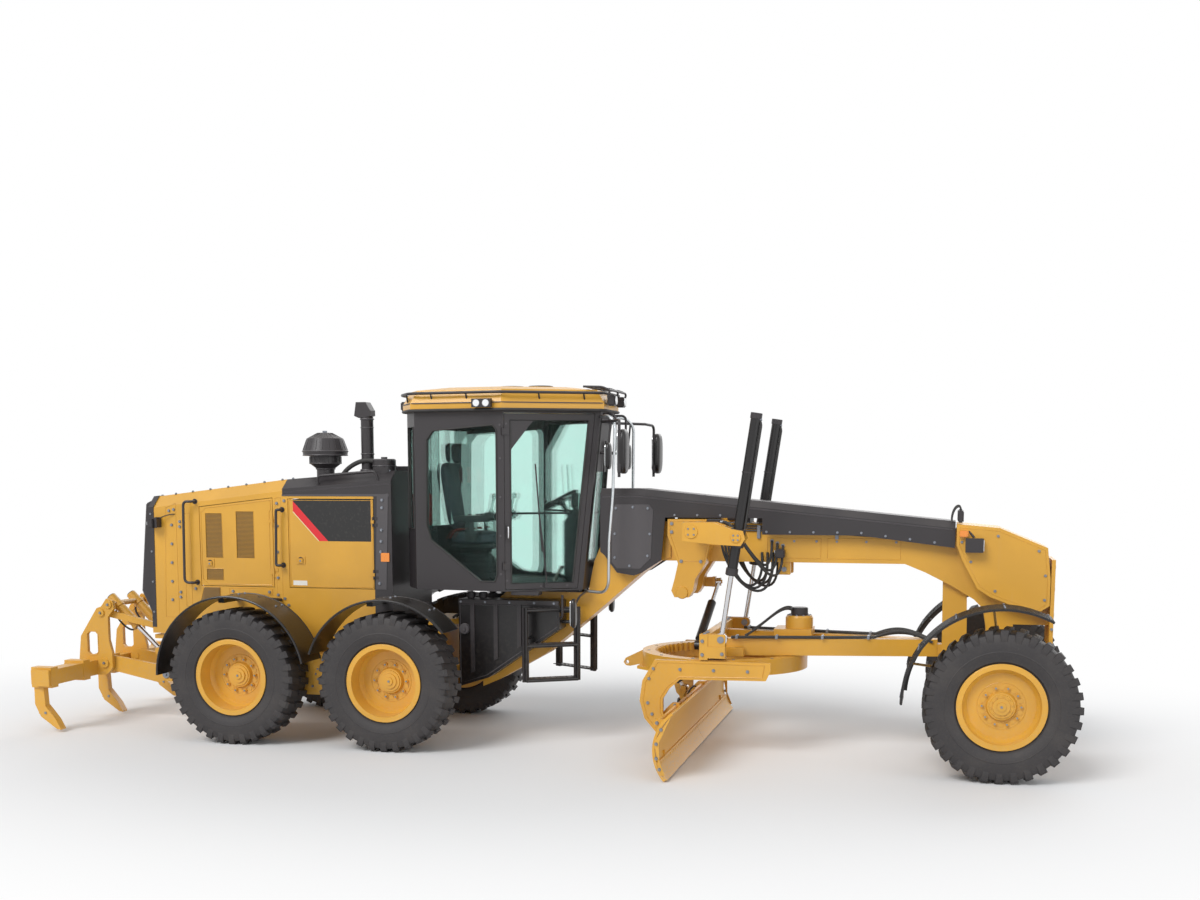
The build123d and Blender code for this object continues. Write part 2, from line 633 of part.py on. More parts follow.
# Saddle that carries the lift cylinders and the centre-shift cylinder
with BuildPart() as lift_saddle:
    for side in (right, left):
        low_y, high_y = sorted((side * (frame_half + seat), side * 335))
        side_plate(((3192, 1950), (3192, 2100), (3600, 2100), (3600, 1950), (3540, 1700), (3450, 1560),
                    (3430, 1450), (3390, 1390), (3260, 1390), (3230, 1450), (3260, 1560), (3290, 1700)),
                   low_y, high_y)
        cross_pin(3500, 2010, *sorted((side * 334, side * 690)), 80)
        for near, far in ((655, 690), (810, 845)):
            low_y, high_y = sorted((side * near, side * far))
            side_plate(((3420, 1930), (3420, 2090), (3700, 2090), (3850, 2035), (3950, 2020), (3970, 1950),
                        (3930, 1890), (3700, 1900)), low_y, high_y)
        block(3700, 3790, *sorted((side * 655, side * 845)), 1905, 2060)
        cross_pin(*lift_trunnion, *sorted((side * 654, side * 846)), 30 + pin_gap, Mode.SUBTRACT)
    cross_pin(3330, 1434, -334, 334, 44)
    block(3330, 3530, 334, 386, 1440, 1530)
    block(3500, 3530, 310, 390, 1440, 1536)
    round_bar((3529, shift_top[1], shift_top[2]), (3592, shift_top[1], shift_top[2]), 18)
save(lift_saddle, "lift_saddle")

# Front axle with a fork at each end for the leaning kingposts
with BuildPart() as front_axle:
    cross_plate(((-600, 572), (-600, 692), (-420, 770), (-200, 905), (200, 905), (420, 770), (600, 692),
                 (600, 572),
                 (420, 620), (180, 720), (-180, 720), (-420, 620)), wheelbase - 95, wheelbase + 95)
    for side in (right, left):
        for x_low, x_high in ((wheelbase - 130, wheelbase - 95), (wheelbase + 95, wheelbase + 130)):
            low_y, high_y = sorted((side * 470, side * kingpin_y))
            block(x_low, x_high, low_y, high_y, tyre_radius - 60, tyre_radius + 60)
            round_bar((x_low, side * kingpin_y, tyre_radius), (x_high, side * kingpin_y, tyre_radius), 60)
        round_bar((wheelbase - 130, side * kingpin_y, tyre_radius),
                  (wheelbase + 130, side * kingpin_y, tyre_radius),
                  lean_pin_radius)
    block(wheelbase - 95, wheelbase + 35, -100, 100, 890, 1000 - seat)
save(front_axle, "front_axle")

# Kingpost: leans on the axle's fork pin and carries the knuckle on its upright pins
with BuildPart() as kingpost_right:
    y = -kingpin_y
    block(wheelbase - 85, wheelbase + 85, y - 60, y + 60, tyre_radius - 110, tyre_radius + 110)
    round_bar((wheelbase, y, tyre_radius - 170), (wheelbase, y, tyre_radius + 170), kingpin_radius)
    cross_plate(((y + 59, tyre_radius - 40), (y + 120, tyre_radius - 40), (y + 120, tyre_radius + 200),
                 (y + 40, tyre_radius + 368), (y - 35, tyre_radius + 368), (y - 35, tyre_radius + 295),
                 (y + 30, tyre_radius + 240), (y + 80, tyre_radius + 180), (y + 80, tyre_radius + 105),
                 (y + 59, tyre_radius + 105)), wheelbase - 25, wheelbase + 40)
    round_bar((wheelbase + 39, y, tyre_radius + lean_bar_height),
              (wheelbase + 92, y, tyre_radius + lean_bar_height), 20)
    round_bar((wheelbase - 86, y, tyre_radius), (wheelbase + 86, y, tyre_radius), lean_pin_radius + pin_gap,
              Mode.SUBTRACT)
save(kingpost_right, "kingpost_right")

# Knuckle with spindle, steering arm and the front mudguard on its stays
with BuildPart() as knuckle_right:
    y = -kingpin_y
    for low in (tyre_radius + 125, tyre_radius - 165):
        block(wheelbase - 65, wheelbase + 65, y - 190, y, low, low + 40)
        round_bar((wheelbase, y, low), (wheelbase, y, low + 40), 65)
    block(wheelbase - 75, wheelbase + 75, y - 190, y - 150, tyre_radius - 165, tyre_radius + 165)
    cross_pin(wheelbase, tyre_radius, -wheel_y - front_dish - 8, y - 189, spindle_radius)
    cross_pin(wheelbase, tyre_radius, y - 205, y - 189, 90)
    block(wheelbase - tie_arm, wheelbase - 60, y - 30, y + 30, tyre_radius + 125, tyre_radius + 165)
    round_bar((wheelbase - tie_arm, y, tyre_radius + 125), (wheelbase - tie_arm, y, tyre_radius + 165), 34)
    round_bar((wheelbase, y, tyre_radius - 170), (wheelbase, y, tyre_radius + 170), kingpin_radius + pin_gap,
              Mode.SUBTRACT)
    fender_arc(wheelbase, 62, 180, 800, 12, -tyre_outer_y, y - 55)
    bent_tube(((wheelbase - 35, y - 74, tyre_radius + 150), (wheelbase - 35, y - 74, tyre_radius + 500),
               (wheelbase - 80, y - 74, tyre_radius + 792)), 11, 120)
    bent_tube(((wheelbase - 50, y - 74, tyre_radius + 150), (wheelbase - 300, y - 74, tyre_radius + 240),
               (wheelbase - 738, y - 74, tyre_radius + 290)), 11, 120)
save(knuckle_right, "knuckle_right")

ball_height = tyre_radius + tie_height
with BuildPart() as kingpost_left:
    mirror(kingpost_right.part, about=Plane.XZ)
save(kingpost_left, "kingpost_left")

with BuildPart() as knuckle_left:
    mirror(knuckle_right.part, about=Plane.XZ)
    round_bar((wheelbase - tie_arm, kingpin_y, tyre_radius + 124),
              (wheelbase - tie_arm, kingpin_y, tyre_radius + 166),
              14 + pin_gap, Mode.SUBTRACT)
save(knuckle_left, "knuckle_left")

with BuildPart() as lean_bar:
    height = tyre_radius + lean_bar_height
    for side in (right, left):
        round_bar((wheelbase + 46, side * kingpin_y, height), (wheelbase + 86, side * kingpin_y, height), 36)
    block(wheelbase + 46, wheelbase + 86, -kingpin_y, kingpin_y, height - 22, height + 22)
    for side in (right, left):
        round_bar((wheelbase + 45, side * kingpin_y, height), (wheelbase + 87, side * kingpin_y, height),
                  20 + pin_gap,
                  Mode.SUBTRACT)
save(lean_bar, "lean_bar")

# Tie rod: its left end turns in the steering arm, its right end is a ball under clearance
with BuildPart() as tie_rod_end:
    x, y, height = wheelbase - tie_arm, kingpin_y, tyre_radius + tie_height
    round_bar((x - 22, y, height), (x + 22, y, height), 26)
    round_bar((x, y, tyre_radius + 120), (x, y, height), 14)
    round_bar((x - 23, y, height), (x + 23, y, height), 12 + pin_gap, Mode.SUBTRACT)
save(tie_rod_end, "tie_rod_end")

with BuildPart() as tie_rod:
    x, y, height = wheelbase - tie_arm, kingpin_y, tyre_radius + tie_height
    round_bar((x - 40, y, height), (x + 40, y, height), 12)
    for low, high in ((x - 40, x - 27), (x + 27, x + 40)):
        cross_plate(((y - 60, height - 24), (y + 20, height - 24), (y + 20, height + 24),
                     (y - 60, height + 24)),
                    low, high)
    block(x - 40, x + 40, y - 75, y - 58, height - 24, height + 24)
    cross_pin(x, height, -y, y - 74, tie_rod_radius)
    with Locations((tandem_x + x, -y, height)):
        Sphere(29)
save(tie_rod, "tie_rod")

# Cab
cab_plan = ((cab_rear_x, 0), (cab_rear_x, -cab_rear_half), (cab_fold_x, -cab_fold_half),
            (b_post_x, -b_post_half),
            (a_post_x, -a_post_half), (a_post_x, 0))
door_start, door_end = (b_post_x, -b_post_half), (a_post_x, -a_post_half)
door_run = math.dist(door_start, door_end)
door_foot_run = door_run * (a_post_x - cab_front_lean - b_post_x) / (a_post_x - b_post_x)
door_low, door_high = cab_bottom + 20, cab_top - 30


def cab_hollow(wall):
    """The cab's plan moved in by a wall, without its middle line."""
    with BuildSketch() as face:
        with BuildLine():
            full = list(cab_plan[1:5]) + [(x, -y) for x, y in reversed(cab_plan[1:5])]
            Polyline(*full, close=True)
        make_face()
        if wall:
            offset(amount=-wall, kind=Kind.INTERSECTION)
    return face.sketch


screen_length = math.hypot(cab_top - cab_bottom, cab_front_lean)
screen_plane = Plane(origin=(tandem_x + a_post_x - cab_front_lean, 0, cab_bottom), x_dir=(0, 1, 0),
                     z_dir=(cab_top - cab_bottom, 0, -cab_front_lean))
screen_foot = a_post_half + (b_post_half - a_post_half) * cab_front_lean / (a_post_x - b_post_x) - 8


def front_run(height, margin):
    """How far along the door line the windscreen post stands at a height, less a margin."""
    share = (cab_top - height) / (cab_top - cab_bottom)
    return door_run + (door_foot_run - door_run) * share - margin


rear_side = ((110, 2040), (155, 1900), (655, 1530), (800, 1530), (825, 1600), (825, 2900), (790, 2950),
             (190, 2905), (120, 2820))
rear_quarter = ((50, 2000), (283, 2000), (283, 2940), (50, 2940))
door_opening = ((10, door_low - 6), (front_run(door_low - 6, 50), door_low - 6),
                (front_run(door_high + 6, 50), door_high + 6), (10, door_high + 6))
with BuildPart() as side_openings:
    wall_opening((cab_fold_x, -cab_fold_half), (b_post_x, -b_post_half), rear_side, 110, Mode.ADD, -20)
    wall_opening((cab_rear_x, -cab_rear_half), (cab_fold_x, -cab_fold_half), rear_quarter, 90, Mode.ADD, -20)
    wall_opening(door_start, door_end, door_opening, 130, Mode.ADD, -20)
    mirror(about=Plane.XZ)

with BuildPart() as cab_frame:
    extrude(cab_hollow(0).moved(Location((tandem_x, 0, cab_bottom))), amount=cab_top - cab_bottom)
    extrude(cab_hollow(cab_wall).moved(Location((tandem_x, 0, cab_bottom + 50))), amount=cab_top,
            mode=Mode.SUBTRACT)
    # the windscreen face leans, with a wall behind it
    side_plate(((a_post_x - cab_front_lean, cab_bottom - 1), (a_post_x + 1, cab_top + 1),
                (a_post_x + 200, cab_top + 1), (a_post_x + 200, cab_bottom - 1)), -900, 900, Mode.SUBTRACT)
    with BuildSketch(screen_plane) as screen:
        with BuildLine():
            Polyline((-screen_foot, 0), (screen_foot, 0), (a_post_half - 8, screen_length),
                     (8 - a_post_half, screen_length), close=True)
        make_face()
    extrude(screen.sketch, amount=-cab_wall)
    with BuildSketch(screen_plane) as screen_hole:
        with BuildLine():
            Polyline((-screen_foot + 60, 260), (screen_foot - 60, 260),
                     (a_post_half - 50, screen_length - 60),
                     (50 - a_post_half, screen_length - 60), close=True)
        make_face()
    extrude(screen_hole.sketch, amount=-2 * cab_wall, mode=Mode.SUBTRACT)
    block(a_post_x - 200, a_post_x + 20, -700, 700, cab_top, cab_top + 30, Mode.SUBTRACT)
    block(cab_rear_x - 10, cab_rear_x + cab_wall + 10, -250, 250, 1950, cab_top - 90, Mode.SUBTRACT)
    add(side_openings.part, mode=Mode.SUBTRACT)
    for x_low in (1650, 2200):
        for side in (right, left):
            low_y, high_y = sorted((side * 50, side * 140))
            block(x_low, x_low + 110, low_y, high_y, 1400 + seat, cab_bottom + 2)
    for low in door_barrels:
        high = low + door_barrel_length
        for y in (-b_post_half, b_post_half):
            round_bar((b_post_x, y, low - 5), (b_post_x, y, high + 5), door_barrel_radius + 6, Mode.SUBTRACT)
            round_bar((b_post_x, y, low - 25), (b_post_x, y, high + 25), door_pin_radius)
save(cab_frame, "cab_frame")


def roof_section(half_scale, height):
    corners = [(cab_rear_x - 30, cab_rear_half + 25), (cab_fold_x - 20, cab_fold_half + 40),
               (b_post_x, b_post_half + 45), (a_post_x + 45, a_post_half + 60)]
    middle_x = 1600
    right_side = [(middle_x + (x - middle_x) * half_scale, -y * half_scale) for x, y in corners]
    return (height, right_side + [(x, -y) for x, y in reversed(right_side)])


with BuildPart() as cab_roof:
    for low, high, low_scale, high_scale in ((cab_top + seat, 3150, 1.0, 1.0), (3150, 3270, 1.0, 0.93),
                                            (3270, 3306, 0.93, 0.6)):
        rings = []
        for height, outline in (roof_section(low_scale, low), roof_section(high_scale, high)):
            with BuildSketch(Plane(origin=(tandem_x, 0, height))) as ring:
                with BuildLine():
                    Polyline(*outline, close=True)
                make_face()
            rings.append(ring.sketch)
        loft(rings, ruled=True)
    round_bar((1900, 0, 3300), (1900, 0, 3322), 130)
save(cab_roof, "cab_roof")

# Cab glass: fixed panes set into the walls, seated at their openings' edges
with BuildPart() as cab_glass:
    wall_opening((cab_fold_x, -cab_fold_half), (b_post_x, -b_post_half), rear_side, glass, Mode.ADD, 20,
                 seat)
    wall_opening((cab_rear_x, -cab_rear_half), (cab_fold_x, -cab_fold_half), rear_quarter, glass,
                 Mode.ADD, 20, seat)
    mirror(about=Plane.XZ)
    block(cab_rear_x + 20, cab_rear_x + 20 + glass, seat - 250, 250 - seat, 1950 + seat, cab_top - 90 - seat)
    with BuildSketch(screen_plane.offset(-20)) as pane:
        with BuildLine():
            Polyline((60 - screen_foot, 260), (screen_foot - 60, 260),
                     (a_post_half - 50, screen_length - 60),
                     (50 - a_post_half, screen_length - 60), close=True)
        make_face()
        offset(amount=-seat, kind=Kind.INTERSECTION)
    extrude(pane.sketch, amount=-glass)
save(cab_glass, "cab_glass")

# Seat, front console and side console
with BuildPart() as cab_interior:
    block(1080, 1460, -170, 170, cab_bottom + 50 + seat, 1850)
    block(1040, 1520, -240, 240, 1850, 1960)
    side_plate(((1040, 1960), (1180, 1960), (1080, 2600), (980, 2600)), -230, 230)
    side_plate(((1000, 2600), (1070, 2600), (1050, 2800), (985, 2800)), -120, 120)
    for side in (right, left):
        low_y, high_y = sorted((side * 270, side * 345))
        block(1120, 1500, low_y, high_y, 2060, 2130)
        block(1250, 1330, *sorted((side * 239, side * 310)), 1870, 2061)
    side_plate(((2150, cab_bottom + 50 + seat), (2290, cab_bottom + 50 + seat), (2290, 2100), (2250, 2200),
                (2150, 2060)), -110, 110)
    round_bar((2190, 0, 2090), (2090, 0, 2260), 22)
    round_bar((2098, 0, 2246), (2084, 0, 2270), 190)
save(cab_interior, "cab_interior")

# Cab doors with their glass
door_outline = ((14, door_low), (front_run(door_low, 54), door_low), (front_run(door_high, 54), door_high),
                (14, door_high))
window_outline = ((70, door_low + 55), (front_run(door_low + 55, 105), door_low + 55),
                  (front_run(door_high - 60, 105), door_high - 60), (70, door_high - 60))
with BuildPart() as cab_door_right:
    wall_opening(door_start, door_end, door_outline, 40, Mode.ADD)
    wall_opening(door_start, door_end, window_outline, 60, Mode.SUBTRACT, -10)
    for low in door_barrels:
        high = low + door_barrel_length
        wall_opening(door_start, door_end, ((0, low), (60, low), (60, high), (0, high)), 6, Mode.ADD, -10)
        wall_opening(door_start, door_end, ((20, low), (60, low), (60, high), (20, high)), 10, Mode.ADD, -6)
        round_bar((b_post_x, -b_post_half, low), (b_post_x, -b_post_half, high), door_barrel_radius)
        round_bar((b_post_x, -b_post_half, low - 1), (b_post_x, -b_post_half, high + 1),
                  door_pin_radius + pin_gap,
                  Mode.SUBTRACT)
save(cab_door_right, "cab_door_right")

with BuildPart() as cab_door_left:
    mirror(cab_door_right.part, about=Plane.XZ)
save(cab_door_left, "cab_door_left")

with BuildPart() as door_glass_right:
    wall_opening(door_start, door_end, window_outline, glass, Mode.ADD, 16, seat)
save(door_glass_right, "door_glass_right")

with BuildPart() as door_glass_left:
    mirror(door_glass_right.part, about=Plane.XZ)
save(door_glass_left, "door_glass_left")

# Side tanks with the step ladders on them
with BuildPart() as side_tanks:
    side_plate(((1212, 1340), (1212, 508), (1500, 600), (2200, 1080), (2200, 1340)), -440, -205)
    for middle in (1500, 2000):
        block(middle - 50, middle + 50, -206, -frame_half - seat, 1200, 1300)
    rear_stile, front_stile = (1925, -600), (2350, -340)
    for x, y in (rear_stile, front_stile):
        round_bar((x, y, 600), (x, y, 1285), 17)
    for height in (605, 927, 1258):
        round_bar((rear_stile[0], rear_stile[1], height), (front_stile[0], front_stile[1], height), 16)
    for height in (1000, 1240):
        round_bar((1925, -439, height), (1925, -600, height), 16)
    for height in (1140, 1240):
        round_bar((2199, -340, height), (2350, -340, height), 16)
    mirror(about=Plane.XZ)
save(side_tanks, "side_tanks")

with BuildPart() as lamps_and_mirrors:
    bent_tube(((2553, -190, 2985), (2790, -560, 2985), (2835, -750, 2975), (2835, -750, 2480)), 13, 50)
    block(2842, 2872, -850, -650, 2520, 2890)
    bent_tube(((2525, -180, 2700), (2675, -215, 2700), (2675, -215, 3053), (2552, -180, 3053)), 11, 40)
    block(5810, 5960, -400, -300 - seat, 1835, 1955)
    block(1480, 1660, -792, -740, 3105, 3180)
    mirror(about=Plane.XZ)
save(lamps_and_mirrors, "lamps_and_mirrors")

# Drawbar: two tubes from the front eye to a yoke over the circle
with BuildPart() as drawbar:
    for side in (right, left):
        plan_plate(((5600, 0), (5600, side * 58), (5450, side * 95), (3646, side * 440), (3646, side * 330),
                    (5250, 0)), 884, 884 + drawbar_tube)
        low_y, high_y = sorted((side * 700, side * 800))
        block(3573, 3800, *sorted((side * 708, side * 722)), 1000, 1110)
        block(3573, 3800, *sorted((side * 778, side * 792)), 1000, 1110)
        block(3573, 3800, low_y, high_y, 900, 1002)
        cross_pin(*lift_eye, *sorted((side * 715, side * 785)), 18)
    block(5590, ball_x, -55, 55, 884, 994)
    cross_pin(ball_x, ball_z, -55, 55, 62)
    block(3573, 3647, -800, 800, 884, 1100)
    block(4150, 4490, -170, 170, 1035, 1105)
    round_bar((4364, 0, 1100), (4364, 0, 1203), 125)
    block(4180, 4330, -300, 300, 884, 1036)
    round_bar((4255, 0, pinion_low), (4255, 0, 885), 60)
    for station, y in ((3860, 420), (3500, 470)):
        for side in (right, left):
            low_y, high_y = sorted((side * y, side * (y + 60)))
            if station > 3700:
                block(3640, station + 60, low_y - 10, high_y + 10, 884, 960)
    block(3512, 3574, shift_foot[1] - 60, shift_foot[1] + 25, 884, 990)
    cross_pin(ball_x, ball_z, -56, 56, drawbar_pin_radius + pin_gap, Mode.SUBTRACT)
save(drawbar, "drawbar")

# Circle with the arms that carry the blade
with BuildPart() as circle:
    round_bar((circle_x, 0, circle_bottom), (circle_x, 0, circle_top), circle_radius)
    round_bar((circle_x, 0, circle_bottom - 1), (circle_x, 0, circle_top + 1), circle_inner, Mode.SUBTRACT)
    for side in (right, left):
        low_y, high_y = sorted((side * 745, side * 785))
        plan_plate(((3230, side * 560), (3230, side * 785), (4150, side * 785), (4150, side * 560)),
                   circle_bottom - 24, circle_bottom + 1)
        side_plate(((4200, 870), (3170, 870), (3060, 680), (3035, 500), (3080, 340), (3190, 212),
                    (3290, 212),
                    (3292, 290), (3247, 400), (3247, 520), (3300, 610), (3400, 700), (4160, 712),
                    (4200, 800)),
                   low_y, high_y)
        cross_pin(tip_x, tip_z, low_y, high_y, 62)
        cross_pin(tip_x, tip_z, low_y - 1, high_y + 1, tip_pin_radius + pin_gap, Mode.SUBTRACT)
        low_y, high_y = sorted((side * 34, side * 58))
        side_plate(((2960, 742), (3085, 724), (3120, 720), (3158, 745), (3158, 775), (3120, 800),
                    (3030, 800),
                    (3000, 860), (2960, 860)), low_y, high_y)
    cross_pin(*tip_top, -58, 58, 20)
    side_plate(((2960, 872), (2930, 872), (2735, 775), (2715, 735), (2740, 705), (2780, 700),
                (2960, 742)), -30, 30)
    cross_pin(2750, 738, -31, 31, 18, Mode.SUBTRACT)
    plan_plate(((2905, -300), (3290, -640), (3290, -500), (2960, -230), (2960, 230), (3290, 500),
                (3290, 640),
                (2905, 300)), circle_bottom - 24, circle_bottom + 1)
save(circle, "circle")

# Bracket that tips in the arms' ends and holds the blade's rails
with BuildPart() as blade_bracket:
    for side in (right, left):
        low_y, high_y = sorted((side * 655, side * 700))
        side_plate(((3180, 215), (3230, 200), (3295, 120), (3360, 120), (3360, 380), (3382, 410),
                    (3382, 475),
                    (3315, 475), (3260, 420), (3180, 310)), low_y, high_y)
        cross_pin(tip_x, tip_z, *sorted((side * 699, side * 786)), tip_pin_radius)
        low_y, high_y = sorted((side * 34, side * 58))
        side_plate(((3262, 300), (3300, 300), (3306, 440), (3324, 490), (3314, 526), (3276, 530),
                    (3262, 480)),
                   low_y, high_y)
        for station, height in slide_rails:
            cross_pin(station, height, *sorted((side * 654, side * 701)), slide_rail_radius + pin_gap,
                      Mode.SUBTRACT)
    block(3250, 3312, -656, 656, 285, 345)
    cross_pin(*tip_foot, -58, 58, 14)
save(blade_bracket, "blade_bracket")

# Moldboard with its rails and cutting edge
with BuildPart() as moldboard:
    with BuildSketch(side_plane(blade_half)) as curve:
        with BuildLine():
            ThreePointArc((3535, 560), (3392, 300), (3480, 18))
            offset(amount=blade_sheet, side=Side.RIGHT)
        make_face()
    extrude(curve.sketch, amount=2 * blade_half)
    for station, height in slide_rails:
        cross_pin(station, height, -1520, 1520, slide_rail_radius)
        for side in (right, left):
            low_y, high_y = sorted((side * 1485, side * 1520))
            block(station - 30, station + 75, low_y, high_y, height - 30, height + 30)
save(moldboard, "moldboard")

# Blade lift cylinders
with BuildPart() as lift_barrels:
    for side in (right, left):
        trunnion, eye = lift_trunnion, lift_eye
        y = side * lift_y
        top = toward(trunnion, eye, trunnion[1] - lift_top)
        foot = toward(trunnion, eye, 338)
        round_bar((top[0], y, top[1]), (foot[0], y, foot[1]), lift_barrel_radius)
        cross_pin(trunnion[0], trunnion[1], y - 95, y + 95, 30)
        deep = toward(trunnion, eye, -600)
        low = toward(trunnion, eye, 340)
        round_bar((deep[0], y, deep[1]), (low[0], y, low[1]), lift_rod_radius + pin_gap, Mode.SUBTRACT)
save(lift_barrels, "lift_barrels")

with BuildPart() as lift_rods:
    for side in (right, left):
        y = side * lift_y
        top = toward(lift_trunnion, lift_eye, -100)
        foot = toward(lift_eye, lift_trunnion, 40)
        round_bar((top[0], y, top[1]), (foot[0], y, foot[1]), lift_rod_radius)
        cross_pin(lift_eye[0], lift_eye[1], y - 24, y + 24, 54)
        cross_pin(lift_eye[0], lift_eye[1], y - 25, y + 25, 32, Mode.SUBTRACT)
save(lift_rods, "lift_rods")


def between(start, end, distance):
    """The point at a distance from start on the line to end, in space."""
    length = math.dist(start, end)
    return tuple(a + (b - a) * distance / length for a, b in zip(start, end))


# Centre-shift cylinder, rod end up under the saddle
with BuildPart() as shift_rod:
    round_bar(between(shift_top, shift_foot, 30), between(shift_top, shift_foot, 585), 19)
    round_bar((3536, shift_top[1], shift_top[2]), (3584, shift_top[1], shift_top[2]), 40)
    round_bar((3535, shift_top[1], shift_top[2]), (3585, shift_top[1], shift_top[2]), 18 + pin_gap,
              Mode.SUBTRACT)
save(shift_rod, "shift_rod")

with BuildPart() as shift_barrel:
    round_bar(between(shift_top, shift_foot, 300), between(shift_top, shift_foot, 800), 40)
    round_bar(between(shift_top, shift_foot, 790), between(shift_top, shift_foot, 860), 20)
    round_bar(between(shift_top, shift_foot, 299), between(shift_top, shift_foot, 785), 19 + pin_gap,
              Mode.SUBTRACT)
    round_bar((3456, shift_foot[1], shift_foot[2]), (3504, shift_foot[1], shift_foot[2]), 42)
    round_bar((3455, shift_foot[1], shift_foot[2]), (3505, shift_foot[1], shift_foot[2]), 17, Mode.SUBTRACT)
save(shift_barrel, "shift_barrel")

# Blade tip cylinder
with BuildPart() as tip_barrel:
    top, foot = (tip_top[0], 0, tip_top[1]), (tip_foot[0], 0, tip_foot[1])
    round_bar(between(top, foot, 30), between(top, foot, 245), 32)
    cross_pin(*tip_top, -28, 28, 38)
    round_bar(between(top, foot, 42), between(top, foot, 246), 15 + pin_gap, Mode.SUBTRACT)
    cross_pin(*tip_top, -29, 29, 20 + pin_gap, Mode.SUBTRACT)
save(tip_barrel, "tip_barrel")

with BuildPart() as tip_rod:
    top, foot = (tip_top[0], 0, tip_top[1]), (tip_foot[0], 0, tip_foot[1])
    round_bar(between(top, foot, 66), between(top, foot, 281), 15)
    cross_pin(*tip_foot, -26, 26, 41)
    cross_pin(*tip_foot, -27, 27, 30, Mode.SUBTRACT)
save(tip_rod, "tip_rod")
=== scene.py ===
import math

import bmesh
import bpy
from bpy.props import FloatProperty, FloatVectorProperty, IntProperty
from mathutils import Matrix, Vector


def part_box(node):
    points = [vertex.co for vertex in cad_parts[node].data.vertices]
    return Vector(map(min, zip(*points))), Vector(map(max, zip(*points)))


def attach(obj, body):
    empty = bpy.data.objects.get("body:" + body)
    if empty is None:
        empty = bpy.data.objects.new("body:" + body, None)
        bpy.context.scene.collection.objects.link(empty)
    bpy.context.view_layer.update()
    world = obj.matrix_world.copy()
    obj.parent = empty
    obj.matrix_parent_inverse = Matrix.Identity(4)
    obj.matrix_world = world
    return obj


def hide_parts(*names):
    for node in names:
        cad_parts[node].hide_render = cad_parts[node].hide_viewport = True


bl_info = {"name": "Motor grader dressing", "version": (1, 0, 0), "blender": (4, 5, 0),
    "location": "3D View > Sidebar > Grader",
    "description": "Paint, tread, trim, hoses and studio for the packed motor grader", "category": "Object",}

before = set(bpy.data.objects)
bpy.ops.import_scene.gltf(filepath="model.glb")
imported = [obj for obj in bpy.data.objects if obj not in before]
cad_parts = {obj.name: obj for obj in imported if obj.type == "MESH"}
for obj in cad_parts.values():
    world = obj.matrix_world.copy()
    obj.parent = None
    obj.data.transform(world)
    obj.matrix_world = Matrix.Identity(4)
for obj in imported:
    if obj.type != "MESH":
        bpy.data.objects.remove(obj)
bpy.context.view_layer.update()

# Stations are counted forward from the middle of the tandem, in metres.
TANDEM = -1.89
WHEELBASE = 6.123
REAR_AXLE, MID_AXLE = -0.7615, 0.7615
WHEEL_Y = 1.063
TYRE_RADIUS = 0.632
TREAD_DEPTH = 0.026
WHEELS = (
    # name, station, side
    ("rear_right", REAR_AXLE, -1), ("rear_left", REAR_AXLE, 1),
    ("mid_right", MID_AXLE, -1), ("mid_left", MID_AXLE, 1),
    ("front_right", WHEELBASE, -1), ("front_left", WHEELBASE, 1),
)
HOOD_HALF = 0.52
HOOD_REAR, HOOD_SLOPE = -1.99, 0.12  # the top rises forward from its rear end
CIRCLE_X, KINGPOST_Y, TANDEM_FACE = 3.677, 0.78, 0.85
SHIFT_X, SHIFT_Z = 3.334, 0.372  # line of the blade's side-shift cylinder
SIDES = RIGHT, LEFT = -1, 1
NAMED_SIDES = (("right", RIGHT), ("left", LEFT))
OUTWARD = tuple((side, Vector((0, side, 0))) for side in SIDES)
UP, ACROSS = (0, 0, 1), (0, 1, 0)


def at(x, y, z):
    """A point from its station, side distance and height."""
    return Vector((TANDEM + x, y, z))


def spots(y, pairs):
    """Points at one side distance, from pairs of station and height."""
    return [at(x, y, z) for x, z in pairs]


def oblong(x, far_x, z, far_z):
    """Corners of an oblong as pairs, in order round it."""
    return ((x, z), (far_x, z), (far_x, far_z), (x, far_z))


def beside(side, *places):
    """Points on one side of the machine, each from its station, side distance and height."""
    return [at(x, side * y, z) for x, y, z in places]


def rise(height):
    """A vector straight up."""
    return Vector((0, 0, height))


def spoke(angle):
    """A unit vector in a wheel's plane, at an angle from straight ahead."""
    return Vector((math.cos(angle), 0, math.sin(angle)))


def toned(colour, share):
    """A colour made darker or lighter by a share, with no channel over 1."""
    return tuple(min(1.0, c * share) for c in colour)


# Shader expressions

class Value:
    """One socket of a material; arithmetic on it adds Math nodes."""

    def __init__(self, finish, socket):
        self.finish = finish
        self.socket = socket

    def _math(self, operation, *inputs):
        return self.finish.node("ShaderNodeMath", {"operation": operation}, dict(enumerate(inputs)))

    def __add__(self, other):
        return self._math("ADD", self, other)

    def __radd__(self, other):
        return self._math("ADD", other, self)

    def __sub__(self, other):
        return self._math("SUBTRACT", self, other)

    def __rsub__(self, other):
        return self._math("SUBTRACT", other, self)

    def __mul__(self, other):
        return self._math("MULTIPLY", self, other)

    def __rmul__(self, other):
        return self._math("MULTIPLY", other, self)

    def __gt__(self, other):
        return self._math("GREATER_THAN", self, other)

    def __lt__(self, other):
        return self._math("LESS_THAN", self, other)

    def clamp(self):
        return self.finish.node("ShaderNodeClamp", {}, {"Value": self})

    def root(self):
        return self._math("SQRT", self)

    def sine(self):
        return self._math("SINE", self)

    def at_least(self, other):
        return self._math("MAXIMUM", self, other)

    def ramp(self, low, high):
        """0 below low, 1 above high, smooth between."""
        return self.finish.node("ShaderNodeMapRange", {"interpolation_type": "SMOOTHSTEP"},
            {"Value": self, "From Min": low, "From Max": high})

    def part(self, name):
        """Another output of the same node."""
        return Value(self.finish, self.socket.node.outputs[name])


